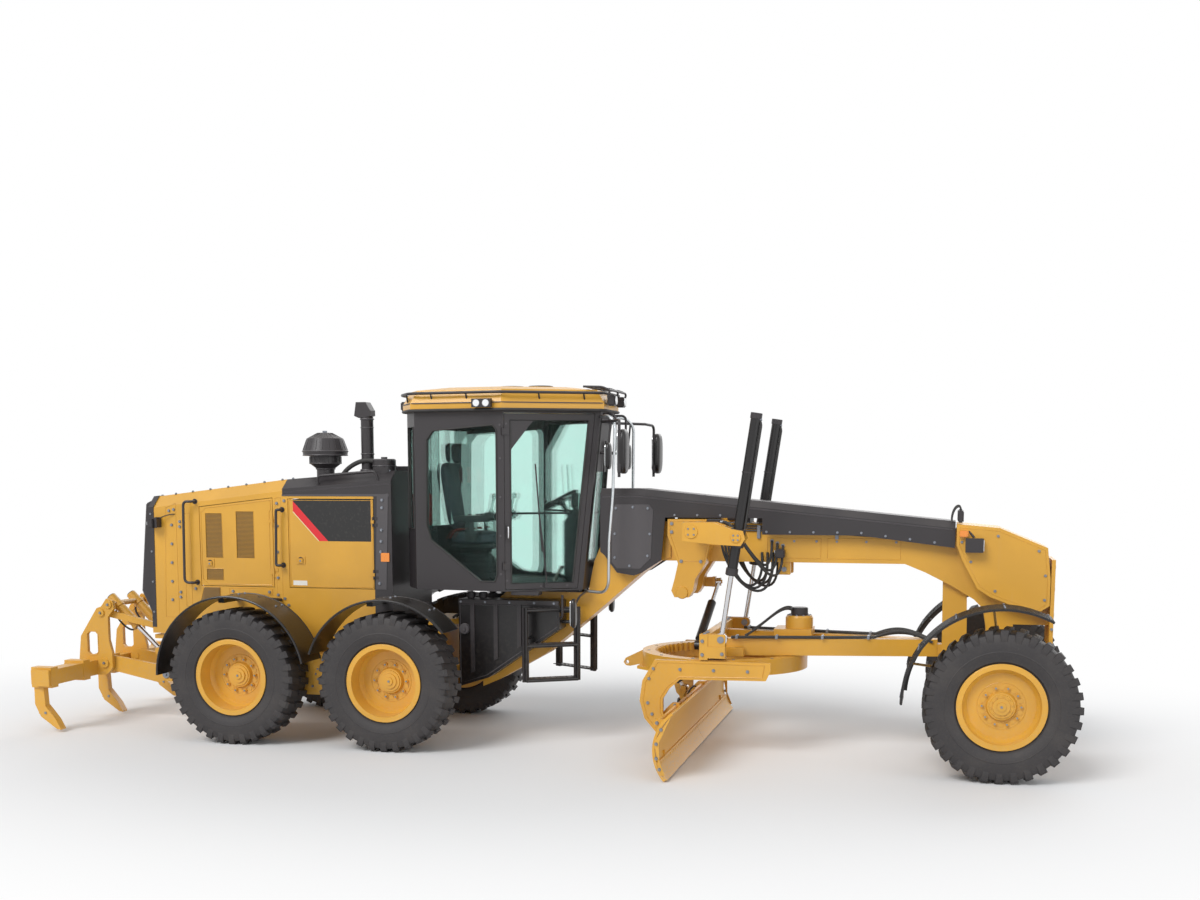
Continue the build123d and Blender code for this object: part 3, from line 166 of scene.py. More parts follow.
class Nodes:
    """The nodes of a material or world, each made by one method."""

    def __init__(self, owner):
        owner.use_nodes = True
        self.tree = owner.node_tree

    def node(self, kind, settings, sockets, output=0):
        made = self.tree.nodes.new(kind)
        for name, value in settings.items():
            setattr(made, name, value)
        for name, value in sockets.items():
            self.plug(made.inputs[name], value)
        return Value(self, made.outputs[output])

    def plug(self, socket, value):
        if isinstance(value, Value):
            self.tree.links.new(value.socket, socket)
        elif hasattr(value, "__len__") and len(value) == 3 and socket.type == "RGBA":
            socket.default_value = (*value, 1.0)
        else:
            socket.default_value = value

    def seen(self):
        """1 for what the eye, a reflection or a pane sees, 0 for the light that falls on things."""
        rays = self.node("ShaderNodeLightPath", {}, {})
        return rays.at_least(rays.part("Is Glossy Ray")).at_least(rays.part("Is Transmission Ray"))


class Finish(Nodes):
    """A material under construction."""

    def __init__(self, name):
        self.material = bpy.data.materials.new(name)
        super().__init__(self.material)
        self.shader = self.tree.nodes["Principled BSDF"]

    def place(self):
        """The point on the surface in metres, at rest."""
        return self.node("ShaderNodeTexCoord", {}, {}, "Object")

    def axes(self):
        split = self.node("ShaderNodeSeparateXYZ", {}, {"Vector": self.place()})
        return split, split.part("Y"), split.part("Z")

    def upward(self):
        """How far the surface faces up, from -1 to 1."""
        normal = self.node("ShaderNodeNewGeometry", {}, {}, "Normal")
        return self.node("ShaderNodeSeparateXYZ", {}, {"Vector": normal}, "Z")

    def noise(self, scale, detail=3.0, point=None, roughness=0.5):
        return self.node("ShaderNodeTexNoise", {}, {"Vector": point or self.place(), "Scale": scale, "Detail": detail,
            "Roughness": roughness})

    def cells(self, scale):
        return self.node("ShaderNodeTexVoronoi", {"feature": "F1"}, {"Vector": self.place(), "Scale": scale})

    def mix(self, share, first, second):
        """Colour from first to second as share goes from 0 to 1."""
        return self.node("ShaderNodeMix", {"data_type": "RGBA"}, {0: share, 6: first, 7: second}, 2)

    def bump(self, height, distance, strength):
        return self.node("ShaderNodeBump", {}, {"Height": height, "Distance": distance, "Strength": strength})

    def surface(self, **values):
        for name, value in values.items():
            self.plug(self.shader.inputs[name.replace("_", " ").title().replace("Ior", "IOR")], value)
        return self.material


# Small mesh maker

class Shape:
    """A mesh that is gathered from simple forms and then made one object."""

    def __init__(self):
        self.mesh = bmesh.new()

    def box(self, low, high, bevel=0.0, turn=None):
        low, high = Vector(low), Vector(high)
        made = bmesh.ops.create_cube(self.mesh, size=1.0)
        middle, size = (low + high) / 2, high - low
        matrix = Matrix.Translation(middle) @ (turn or Matrix.Identity(4)) @ Matrix.Diagonal((*size, 1.0))
        bmesh.ops.transform(self.mesh, matrix=matrix, verts=made["verts"])
        if bevel:
            edges = {edge for vertex in made["verts"] for edge in vertex.link_edges}
            bmesh.ops.bevel(self.mesh, geom=list(edges), offset=bevel, segments=2, affect="EDGES", clamp_overlap=True)

    def disc(self, centre, axis, radius, length, sides=24, top=None, bevel=0.0):
        """A round or many-sided peg that starts at centre and runs along axis."""
        axis = Vector(axis).normalized()
        made = bmesh.ops.create_cone(self.mesh, cap_ends=True, segments=sides, radius1=radius,
            radius2=radius if top is None else top, depth=length)
        turn = axis.to_track_quat("Z", "Y").to_matrix().to_4x4()
        matrix = Matrix.Translation(Vector(centre) + axis * length / 2) @ turn
        bmesh.ops.transform(self.mesh, matrix=matrix, verts=made["verts"])
        if bevel:
            edges = [edge for edge in {e for v in made["verts"] for e in v.link_edges} if len(edge.link_faces) == 2
                and any(len(face.verts) > 4 for face in edge.link_faces)]
            bmesh.ops.bevel(self.mesh, geom=edges, offset=bevel, segments=2, affect="EDGES", clamp_overlap=True)

    def bolt(self, centre, axis, size):
        """A hexagon head on a washer; size is its width across flats."""
        axis = Vector(axis).normalized()
        self.disc(centre, axis, size * 0.62, size * 0.14, 16)
        self.disc(Vector(centre) + axis * size * 0.14, axis, size * 0.56, size * 0.42, 6, size * 0.5)

    def bolts(self, centre, axis, radius, count, size):
        """A ring of bolts about an axis."""
        for place in circle(centre, axis, radius, count):
            self.bolt(place, axis, size)

    def hoop(self, centre, axis, radius, thick, count=48, sides=8):
        """A closed round bar about an axis."""
        self.tube(circle(centre, axis, radius, count), thick, sides, closed=True)

    def pair(self, side, x, y, z, bevel=0.0):
        """A box on one side of the machine, from its stations, side distances and heights."""
        low, high = sorted((side * y[0], side * y[1]))
        self.box(at(x[0], low, z[0]), at(x[1], high, z[1]), bevel)

    def ball(self, centre, radius, squash=(1, 1, 1)):
        made = bmesh.ops.create_uvsphere(self.mesh, u_segments=20, v_segments=12, radius=radius)
        matrix = Matrix.Translation(Vector(centre)) @ Matrix.Diagonal((*squash, 1.0))
        bmesh.ops.transform(self.mesh, matrix=matrix, verts=made["verts"])

    def pod(self, side, x, y, z, puff=3.5):
        """A moulded head with bulged faces and round corners, on one side of the machine."""
        low, high = sorted((side * y[0], side * y[1]))
        low, high = at(x[0], low, z[0]), at(x[1], high, z[1])
        made = bmesh.ops.create_uvsphere(self.mesh, u_segments=32, v_segments=20, radius=1.0)
        for vertex in made["verts"]:
            u = vertex.co
            u *= (abs(u.x) ** puff + abs(u.y) ** puff + abs(u.z) ** puff) ** (-1 / puff)
            vertex.co = (low + high) / 2 + Vector(a * b / 2 for a, b in zip(u, high - low))

    def tube(self, points, radius, sides=12, bend=0.0, closed=False):
        """A round bar along points, its corners rounded by bend."""
        path = rounded(points, bend) if bend else [Vector(p) for p in points]
        rings = []
        previous = None
        for index, point in enumerate(path):
            before = path[max(index - 1, 0)] if not closed else path[index - 1]
            after = path[min(index + 1, len(path) - 1)] if not closed else path[(index + 1) % len(path)]
            along = (after - before).normalized()
            side = previous if previous else along.orthogonal().normalized()
            side = (side - along * side.dot(along)).normalized()
            previous = side
            up = along.cross(side)
            rings.append([self.mesh.verts.new(point + radius * (side * math.cos(a) + up * math.sin(a)))
                for a in (2 * math.pi * k / sides for k in range(sides))])
        pairs = list(zip(rings, rings[1:])) + ([(rings[-1], rings[0])] if closed else [])
        for first, second in pairs:
            for k in range(sides):
                self.mesh.faces.new((first[k], first[(k + 1) % sides], second[(k + 1) % sides], second[k]))
        if not closed:
            self.mesh.faces.new(list(reversed(rings[0])))
            self.mesh.faces.new(rings[-1])

    def bead(self, corners, radius=0.003):
        """A thin raised line round a panel."""
        self.tube(corners, radius, 6, closed=True)

    def hose(self, start, leave, end, arrive, radius, sides=12, steps=20):
        """A hose between two points that leaves and arrives along the given vectors."""
        first, second = start + Vector(leave), end + Vector(arrive)
        self.tube([start * (1 - t) ** 3 + first * 3 * t * (1 - t) ** 2 + second * 3 * t * t * (1 - t) + end * t ** 3
            for t in (k / steps for k in range(steps + 1))], radius, sides)

    def slab(self, outline, thickness, normal):
        """A flat plate from a closed outline, grown along normal."""
        normal = Vector(normal).normalized() * thickness
        low = [self.mesh.verts.new(Vector(p)) for p in outline]
        high = [self.mesh.verts.new(Vector(p) + normal) for p in outline]
        self.mesh.faces.new(list(reversed(low)))
        self.mesh.faces.new(high)
        for k in range(len(low)):
            after = (k + 1) % len(low)
            self.mesh.faces.new((low[k], low[after], high[after], high[k]))

    def make(self, name, material, body, smooth=40, slot=None, replaces=()):
        bmesh.ops.recalc_face_normals(self.mesh, faces=self.mesh.faces)
        data = bpy.data.meshes.new(name)
        self.mesh.to_mesh(data)
        self.mesh.free()
        piece = bpy.data.objects.new(name, data)
        bpy.context.scene.collection.objects.link(piece)
        data.materials.append(material)
        if smooth:
            shade(piece, smooth)
        if body:
            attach(piece, body)
        if replaces:
            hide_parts(*replaces)
        return piece


def circle(centre, axis, radius, count):
    """Points on a circle about an axis."""
    axis = Vector(axis).normalized()
    first = axis.orthogonal().normalized()
    second = axis.cross(first)
    angles = (2 * math.pi * k / count for k in range(count))
    return [Vector(centre) + (first * math.cos(a) + second * math.sin(a)) * radius for a in angles]


def shade(piece, angle):
    """Smooth faces with sharp edges kept sharp."""
    for polygon in piece.data.polygons:
        polygon.use_smooth = True
    piece.data.set_sharp_from_angle(angle=math.radians(angle))


def rounded(points, bend, steps=6):
    """A path with each corner turned into an arc-like curve."""
    points = [Vector(p) for p in points]
    path = [points[0]]
    for before, corner, after in zip(points, points[1:], points[2:]):
        back = (before - corner)
        ahead = (after - corner)
        reach = min(bend, back.length * 0.48, ahead.length * 0.48)
        start = corner + back.normalized() * reach
        end = corner + ahead.normalized() * reach
        for k in range(steps + 1):
            t = k / steps
            path.append(start * (1 - t) ** 2 + corner * 2 * t * (1 - t) + end * t ** 2)
    path.append(points[-1])
    return path


# Settings

class PaintSettings(bpy.types.PropertyGroup):
    yellow: FloatVectorProperty(name="Machine yellow", description="Main paint", subtype="COLOR", min=0, max=1,
        default=(0.665, 0.345, 0.036))
    black: FloatVectorProperty(name="Satin black", description="Paint of cowl, cab and covers", subtype="COLOR", min=0,
        max=1, default=(0.029, 0.025, 0.027))
    dust: FloatVectorProperty(name="Dust", description="Dry dust on flat and low places", subtype="COLOR", min=0,
        max=1, default=(0.42, 0.36, 0.29))
    red: FloatVectorProperty(name="Stripe red", description="Slanted stripe on the front service doors",
        subtype="COLOR", min=0, max=1, default=(0.7, 0.012, 0.02))
    glass: FloatVectorProperty(name="Glass tint", description="Tint of the cab's panes", subtype="COLOR", min=0, max=1,
        default=(0.42, 0.78, 0.68))
    rubber: FloatVectorProperty(name="Tyre rubber", description="Rubber under its dust", subtype="COLOR", min=0, max=1,
        default=(0.028, 0.025, 0.026))


class TreadSettings(bpy.types.PropertyGroup):
    lugs: IntProperty(name="Lugs a side", description="Tread lugs on each shoulder of a tyre",
        default=32, min=8, max=60)
    depth: FloatProperty(name="Tread depth", description="Groove depth between lugs", default=TREAD_DEPTH, min=0.0,
        max=0.05, unit="LENGTH")


class TrimSettings(bpy.types.PropertyGroup):
    bolt: FloatProperty(name="Bolt head", description="Width of the common bolt heads across flats", default=0.024,
        min=0.005, max=0.08, unit="LENGTH")
    hose: FloatProperty(name="Hose radius", description="Outside radius of the hydraulic hoses", default=0.012,
        min=0.004, max=0.03, unit="LENGTH")
    rail: FloatProperty(name="Rail radius", description="Radius of hand rails", default=0.013, min=0.004,
        max=0.03, unit="LENGTH")


class StudioSettings(bpy.types.PropertyGroup):
    floor: FloatVectorProperty(name="Floor colour", description="Pale studio floor", subtype="COLOR", min=0, max=1,
        default=(0.8, 0.8, 0.8))
    key: FloatProperty(name="Key light", description="Strength of the main soft light, in watts a square metre",
        default=1.95, min=0.0, max=20.0)
    sky: FloatProperty(name="Sky light", description="Strength of the even light from all round", default=0.5,
        min=0.0, max=5.0)


# Finishes

def machine_paint(name, colour, dust, gloss=0.34, low_dust=0.1):
    """Gloss enamel with faint mottling, a little dust low down, and orange-peel."""
    finish = Finish(name)
    z = finish.axes()[2]
    drift = finish.noise(1.7, 4.0)
    fine = finish.noise(38.0, 4.0, roughness=0.6)
    streaks = finish.noise(1.0, 5.0, finish.node("ShaderNodeMapping", {},
        {"Vector": finish.place(), "Scale": (14.0, 14.0, 1.3)}))
    shade_low = toned(colour, 0.94)
    shade_high = toned(colour, 1.05)
    base = finish.mix(drift.ramp(0.35, 0.68), shade_low, shade_high)
    top = finish.upward()
    low = 1.0 - z.ramp(0.15, 1.5)
    grime = low * low_dust * fine.ramp(0.38, 0.72) + streaks.ramp(0.58, 0.78) * 0.05 + top.ramp(0.6, 0.98) * 0.04
    peel = finish.noise(260.0, 2.0)
    return finish.surface(base_color=finish.mix(grime.clamp(), base, dust), coat_weight=0.25, coat_roughness=0.2,
        roughness=gloss + grime * 0.4 + fine * 0.08, normal=finish.bump(peel, 0.0004, 0.4))


def satin_black(name, colour, dust, gloss=0.4):
    """Powder-coated black: fine grain, pale dust on its upper faces."""
    finish = Finish(name)
    z = finish.axes()[2]
    grain = finish.noise(420.0, 2.0)
    drift = finish.noise(2.3, 4.0)
    top = finish.upward()
    settled = (top.ramp(0.45, 1.0) * 0.1 * drift.ramp(0.3, 0.75) + (1.0 - z.ramp(0.2, 1.5)) * 0.06 * finish.noise(30.0,
        4.0).ramp(0.4, 0.75)).clamp()
    base = finish.mix(drift, toned(colour, 0.9), toned(colour, 1.15))
    return finish.surface(base_color=finish.mix(settled, base, dust), roughness=gloss + settled * 0.35 + grain * 0.06,
        normal=finish.bump(grain, 0.0004, 0.6))


def door_artwork(name, colour, black, red, dust):
    """Front service door: black panel above, a slanted red stripe with a thin pale line, yellow below."""
    finish = Finish(name)
    x, _, z = finish.axes()
    station = x - TANDEM
    drift = finish.noise(1.7, 4.0)
    fine = finish.noise(38.0, 4.0)
    yellow = finish.mix(drift.ramp(0.35, 0.68), toned(colour, 0.94), toned(colour, 1.05))
    panel = (z > 1.872) * (station > -0.432) * (station < SHIFT_Z)
    # distance above the stripe's upper edge, which falls forward from the panel's top rear corner
    run = (z - 2.255) + (station + 0.432) * 1.06
    field = panel * (run > 0.0)
    stripe = panel * (run < 0.0) * (run > -0.098)
    line = panel * (run < -0.098) * (run > -0.11)
    base = finish.mix(field, yellow, toned(black, 0.12))
    base = finish.mix(stripe, base, red)
    base = finish.mix(line, base, (0.75, 0.62, 0.35))
    grime = (fine.ramp(0.5, 0.8) * 0.04).clamp()
    return finish.surface(base_color=finish.mix(grime, base, dust), roughness=0.34 + grime + fine * 0.08,
        coat_weight=0.3, coat_roughness=0.2, normal=finish.bump(finish.noise(260.0, 2.0), 0.0005, 0.4))


def tyre_rubber(name, colour, dust):
    """New rubber with a faint bloom."""
    finish = Finish(name)
    fine = finish.noise(60.0, 5.0, roughness=0.65)
    wide = finish.noise(4.0, 3.0)
    cloud = (fine.ramp(0.42, 0.75) * 0.03 + wide.ramp(0.45, 0.75) * 0.03).clamp()
    base = finish.mix(wide, toned(colour, 0.9), toned(colour, 1.15))
    return finish.surface(base_color=finish.mix(cloud, base, dust), roughness=0.56 + cloud * 0.5 + fine * 0.1,
        normal=finish.bump(fine, 0.0005, 0.5))


def tinted_glass(name, tint):
    """Green-tinted pane: mostly clear, with a faint film of dust."""
    finish = Finish(name)
    film = finish.noise(6.0, 5.0).ramp(0.35, 0.9)
    tone = finish.mix(film, tint, toned(tint, 1.1))
    return finish.surface(base_color=tone, alpha=0.42 + film * 0.06, roughness=0.02 + film * 0.03,
        transmission_weight=1.0, ior=1.2)


def bright_steel(name, colour=(0.72, 0.72, 0.74), rough=0.12):
    """Hard chrome with faint lengthwise scratches and oily smears."""
    finish = Finish(name)
    smear = finish.noise(9.0, 4.0)
    scratch = finish.noise(240.0, 2.0)
    return finish.surface(base_color=finish.mix(smear, colour, toned(colour, 0.8)), metallic=1.0,
        roughness=rough + smear * 0.12 + scratch * 0.05, normal=finish.bump(scratch, 0.0002, 0.4))


def worn_blade(name, colour, dust):
    """Moldboard face: bright paint with faint lengthwise scuffs, bare steel at its foot."""
    finish = Finish(name)
    z = finish.axes()[2]
    sweep = finish.noise(1.0, 6.0, finish.node("ShaderNodeMapping", {},
        {"Vector": finish.place(), "Scale": (6.0, 1.1, 14.0)}))
    fine = finish.noise(70.0, 5.0)
    wear = (sweep.ramp(0.62, 0.8) * 0.3 + (1.0 - z.ramp(0.1, 0.2)) * 0.35 * fine.ramp(0.4, 0.6)).clamp()
    steel = finish.mix(fine, (0.34, 0.32, 0.29), (0.52, 0.49, 0.45))
    paint = finish.mix(fine.ramp(0.45, 0.8) * 0.16, toned(colour, 1.05), dust)
    return finish.surface(base_color=finish.mix(wear, paint, steel), metallic=wear * 0.5,
        roughness=0.36 + wear * 0.08 + fine * 0.1, normal=finish.bump(fine + sweep * 0.6, 0.0005, 0.5))


def zinc(name, colour=(0.3, 0.32, 0.36)):
    """Blue-grey plated bolt heads and small fittings."""
    finish = Finish(name)
    speck = finish.noise(150.0, 3.0)
    return finish.surface(base_color=finish.mix(speck, toned(colour, 0.7), colour), metallic=0.75,
        roughness=0.38 + speck * 0.2, normal=finish.bump(speck, 0.0003, 0.4))


def black_rubber(name):
    """Hydraulic hose cover and seals."""
    finish = Finish(name)
    wrap = finish.noise(220.0, 3.0)
    drift = finish.noise(7.0, 3.0)
    return finish.surface(base_color=finish.mix(drift, (0.018, 0.018, 0.018), (0.05, 0.047, 0.045)),
        roughness=0.6 + wrap * 0.15, normal=finish.bump(wrap, 0.0004, 0.6))


def moulded_plastic(name, colour):
    """Grained moulding inside the cab and on lamp housings."""
    finish = Finish(name)
    pebble = finish.cells(420.0)
    drift = finish.noise(5.0, 3.0)
    return finish.surface(base_color=finish.mix(drift, toned(colour, 0.8), toned(colour, 1.2)),
        roughness=0.55 + pebble * 0.2, normal=finish.bump(pebble, 0.0005, 0.6))


def seat_cloth(name, colour):
    """Woven seat cloth with a soft diamond rib."""
    finish = Finish(name)
    x, y, z = finish.axes()
    warp = (y * 900.0).sine() * 0.5 + 0.5
    weft = ((x + z) * 900.0).sine() * 0.5 + 0.5
    weave = warp * weft
    drift = finish.noise(14.0, 3.0)
    return finish.surface(base_color=finish.mix(weave * 0.6 + drift * 0.4, toned(colour, 0.6), colour),
        roughness=0.85 + weave * 0.1, normal=finish.bump(weave, 0.0006, 0.8))


def lamp_lens(name, colour):
    """Ribbed clear or coloured lens over a bright reflector."""
    finish = Finish(name)
    x, y, _ = finish.axes()
    ribs = ((x + y) * 700.0).sine() * 0.5 + 0.5
    flecks = finish.cells(140.0)
    return finish.surface(base_color=finish.mix(ribs * 0.5 + flecks * 0.4, colour, toned(colour, 1.5)), metallic=0.35,
        roughness=0.12 + ribs * 0.1, coat_weight=1.0, coat_roughness=0.03, normal=finish.bump(ribs, 0.0006, 0.5))


def cast_iron(name, colour):
    """Sooty machinery inside the engine bay."""
    finish = Finish(name)
    lumps = finish.noise(90.0, 4.0)
    soot = finish.noise(3.0, 4.0)
    return finish.surface(base_color=finish.mix(soot, toned(colour, 0.6), toned(colour, 1.2)),
        roughness=0.7 + lumps * 0.15, metallic=0.2, normal=finish.bump(lumps, 0.0012, 0.7))


MATERIALS = {}


def material(name):
    if name not in MATERIALS:
        paint = bpy.context.scene.grader_paint
        yellow, black, dust = tuple(paint.yellow), tuple(paint.black), tuple(paint.dust)
        makers = {
            # finish: its maker
            "yellow": lambda: machine_paint("machine yellow", yellow, dust),
            "yellow_low": lambda: machine_paint("machine yellow, ripper", yellow, dust, 0.4, 0.16),
            "black": lambda: satin_black("satin black", black, dust),
            "gloss_black": lambda: satin_black("moulded gloss black", toned(black, 0.3), dust, 0.26),
            "artwork": lambda: door_artwork("front door paint", yellow, black, tuple(paint.red), dust),
            "rubber": lambda: tyre_rubber("tyre rubber", tuple(paint.rubber), dust),
            "glass": lambda: tinted_glass("tinted glass", tuple(paint.glass)),
            "chrome": lambda: bright_steel("hard chrome"),
            "mirror": lambda: bright_steel("mirror glass", (0.85, 0.87, 0.88), 0.02),
            "blade": lambda: worn_blade("blade face", yellow, dust),
            "edge": lambda: bright_steel("cutting edge steel", (0.33, 0.3, 0.28), 0.42),
            "zinc": lambda: zinc("plated bolts"),
            "hose": lambda: black_rubber("hose rubber"),
            "plastic": lambda: moulded_plastic("black plastic", (0.035, 0.035, 0.037)),
            "grey_plastic": lambda: moulded_plastic("cab lining", (0.16, 0.16, 0.165)),
            "cloth": lambda: seat_cloth("seat cloth", (0.09, 0.095, 0.11)),
            "lens": lambda: lamp_lens("clear lens", (0.72, 0.74, 0.76)),
            "amber": lambda: lamp_lens("amber lens", (0.75, 0.22, 0.02)),
            "red_lens": lambda: lamp_lens("red lens", (0.55, 0.02, 0.02)),
            "iron": lambda: cast_iron("engine iron", (0.1, 0.1, 0.105)),
            "rail": lambda: bright_steel("pale rail steel", (0.62, 0.65, 0.67), 0.35),
            "post": lambda: satin_black("charcoal trim", (0.072, 0.066, 0.07), dust),
            "mesh": lambda: satin_black("bronze mesh", (0.24, 0.135, 0.035), dust),
            # finish of the disc in the exhaust's mouth: soot, and painted shade of the pipe's hollow inside
            "soot": lambda: cast_iron("exhaust soot and painted mouth shade", (0.02, 0.019, 0.018)),
            "artwork_edge": lambda: machine_paint("front door bead", yellow, dust),
            "label": lambda: moulded_plastic("blank label", (0.8, 0.78, 0.72)),
            "belt": lambda: seat_cloth("belt webbing", (0.28, 0.05, 0.04)),
        }
        MATERIALS[name] = makers[name]()
    return MATERIALS[name]


# Nodes that keep their CAD shape, by finish
NODE_FINISHES = {
    # finish: nodes
    "yellow": ("hood", "service_door_rear_right", "service_door_rear_left", "front_frame", "nose_cover",
               "lift_saddle", "front_axle", "kingpost_right", "kingpost_left", "knuckle_right", "knuckle_left",
               "lean_bar", "drawbar", "circle", "blade_bracket", "cab_roof", "rim_rear_right", "rim_rear_left",
               "rim_mid_right", "rim_mid_left", "rim_front_right", "rim_front_left", "tie_rod", "tie_rod_end"),
    "yellow_low": ("rear_frame", "tandem_cases", "ripper_arms", "ripper_beam", "ripper_links", "ripper_barrels"),
    "black": ("engine_cowl", "rear_grille", "frame_cover", "cab_frame", "cab_door_right", "cab_door_left",
              "lamps_and_mirrors"),
    "gloss_black": ("rear_fenders", "side_tanks", "lift_barrels", "shift_barrel", "tip_barrel"),
    "artwork": ("service_door_front_right", "service_door_front_left"),
    "glass": ("cab_glass", "door_glass_right", "door_glass_left"),
    "blade": ("moldboard",),
    "chrome": ("ripper_rods", "lift_rods", "shift_rod", "tip_rod"),
    "iron": ("engine_block",),
    "grey_plastic": ("cab_interior",),
    "rubber": tuple("tyre_" + name for name, _, _ in WHEELS),
}


class GRADER_OT_camera(bpy.types.Operator):
    """Camera at the photograph's viewing angle"""
    bl_idname = "grader.camera"
    bl_label = "Camera"

    def execute(self, context):
        yaw, pitch, roll = 0.25267, 0.12675, -0.0009
        focal, centre_x, centre_y = 1388.58, 585.76, 650.14
        ahead = Vector((-math.sin(yaw) * math.cos(pitch), math.cos(yaw) * math.cos(pitch), -math.sin(pitch)))
        right = ahead.cross(rise(1)).normalized()
        up = right.cross(ahead)
        turned = right * math.cos(roll) + up * math.sin(roll)
        up = turned.cross(ahead)
        data = bpy.data.cameras.new("camera")
        data.sensor_width = 36.0
        data.lens = focal * 36.0 / 1200
        data.shift_x = (600 - centre_x) / 1200
        data.shift_y = (centre_y - 450) / 1200
        data.clip_end = 200.0
        camera = bpy.data.objects.new("camera", data)
        context.scene.collection.objects.link(camera)
        basis = Matrix((turned, up, -ahead)).transposed().to_4x4()
        camera.matrix_world = Matrix.Translation(at(5.6366, -12.7825, 2.5152)) @ basis
        context.scene.camera = camera
        return {"FINISHED"}


class GRADER_OT_studio(bpy.types.Operator):
    """Pale floor that fades to white, soft lamps and an even world"""
    bl_idname = "grader.studio"
    bl_label = "Studio"

    def execute(self, context):
        settings = context.scene.grader_studio
        finish = Finish("studio floor")
        tone = finish.noise(0.6, 2.0)
        paint = finish.mix(tone, tuple(settings.floor), toned(settings.floor, 0.985))
        finish.surface(base_color=paint, roughness=0.85 + tone * 0.05)
        x, y, _ = finish.axes()
        far = (x * x * 0.4 + y * y).root().ramp(2.6, 6.5)
        white = finish.node("ShaderNodeEmission", {}, {"Color": (1.0, 1.0, 1.0), "Strength": 1.0})
        both = finish.node("ShaderNodeMixShader", {}, {0: far * finish.seen(),
            1: Value(finish, finish.shader.outputs[0]), 2: white})
        finish.plug(finish.tree.nodes["Material Output"].inputs["Surface"], both)
        shape = Shape()
        corners = [shape.mesh.verts.new((x, y, 0)) for x, y in oblong(-60, 60, -60, 60)]
        shape.mesh.faces.new(corners)
        floor = shape.make("studio_floor", finish.material, None, 0)
        world = bpy.data.worlds.new("studio")
        sky = Nodes(world)
        light = sky.node("ShaderNodeBackground", {}, {"Color": (0.95, 0.97, 1.0), "Strength": settings.sky})
        white = sky.node("ShaderNodeBackground", {}, {"Color": (1.0, 1.0, 1.0), "Strength": 1.0})
        both = sky.node("ShaderNodeMixShader", {}, {0: sky.seen(), 1: light, 2: white})
        sky.plug(sky.tree.nodes["World Output"].inputs["Surface"], both)
        context.scene.world = world
        for name, place, power, spread in (("key", (-4.0, -8.0, 9.0), settings.key, 0.5),
                ("fill", (9.0, -6.0, 4.0), settings.key * 0.3, 0.8),
                ("rim", (2.0, 9.0, 7.0), settings.key * 0.4, 0.8)):
            data = bpy.data.lights.new(name, "SUN")
            data.energy = power
            data.angle = spread
            lamp = bpy.data.objects.new(name, data)
            context.scene.collection.objects.link(lamp)
            lamp.location = place
            lamp.rotation_euler = (rise(1.2) - Vector(place)).to_track_quat("-Z", "Y").to_euler()
        context.scene.view_settings.view_transform = "Standard"
        return {"FINISHED"}


class GRADER_OT_finishes(bpy.types.Operator):
    """Paint, glass, chrome and rubber on the machine's solid pieces"""
    bl_idname = "grader.finishes"
    bl_label = "Finishes"

    def execute(self, context):
        for finish, names in NODE_FINISHES.items():
            for name in names:
                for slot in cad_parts[name].material_slots:
                    slot.link = "OBJECT"
                    slot.material = material(finish)
        return {"FINISHED"}


class Fittings:
    """Small pieces in several finishes that ride on one body."""

    def __init__(self, name, body):
        self.name, self.body, self.shapes = name, body, {}

    def __getitem__(self, finish):
        return self.shapes.setdefault(finish, Shape())

    def bolt(self, place, axis, size):
        self["zinc"].bolt(place, axis, size)

    def studs(self, places, axis, size):
        """Plated bolts at several places."""
        for place in places:
            self.bolt(place, axis, size)

    def make(self):
        for finish, shape in self.shapes.items():
            shape.make(self.name + "_" + finish, material(finish), self.body)


def slats(shape, side_y, x_low, x_high, z_low, z_high, count, depth=0.004):
    """Horizontal slats of a side grille that stand on an upright face."""
    pitch = (z_high - z_low) / count
    for row in range(count):
        z = z_low + pitch * (row + 0.5)
        shape.box(at(x_low, side_y - depth / 2, z - pitch * 0.28), at(x_high, side_y + depth / 2, z + pitch * 0.28),
            turn=Matrix.Rotation(math.radians(18) * (1 if side_y < 0 else -1), 4, "X"))


TYRE_SECTION = (
    # side distance from the tyre's middle, radius
    (0.1507, 0.3303), (0.1507, 0.362), (0.166, SHIFT_Z), (0.172, 0.376), (0.173, 0.386), (0.18, 0.404),
    (0.1875, 0.438), (0.189, 0.45), (0.1915, 0.453), (0.1915, 0.458), (0.19, 0.461), (0.1915, 0.49),
    (0.1912, 0.525), (0.187, 0.568), (0.178, 0.596), (0.16, 0.604), (0.08, 0.609), (0.0, 0.61),
)
LUG_PATH = (
    # foot side distance, foot radius, top side distance, top radius, half width, lean in radians
    (0.19, 0.538, 0.1912, 0.545, 0.03, 0.0), (0.186, 0.574, 0.1925, 0.578, 0.033, 0.0),
    (0.178, 0.594, 0.189, 0.61, 0.035, 0.0), (0.162, 0.602, 0.172, 0.631, 0.036, 0.004),
    (0.09, 0.606, 0.09, 0.632, 0.031, 0.03), (0.01, 0.606, 0.012, 0.63, 0.024, 0.062),
)


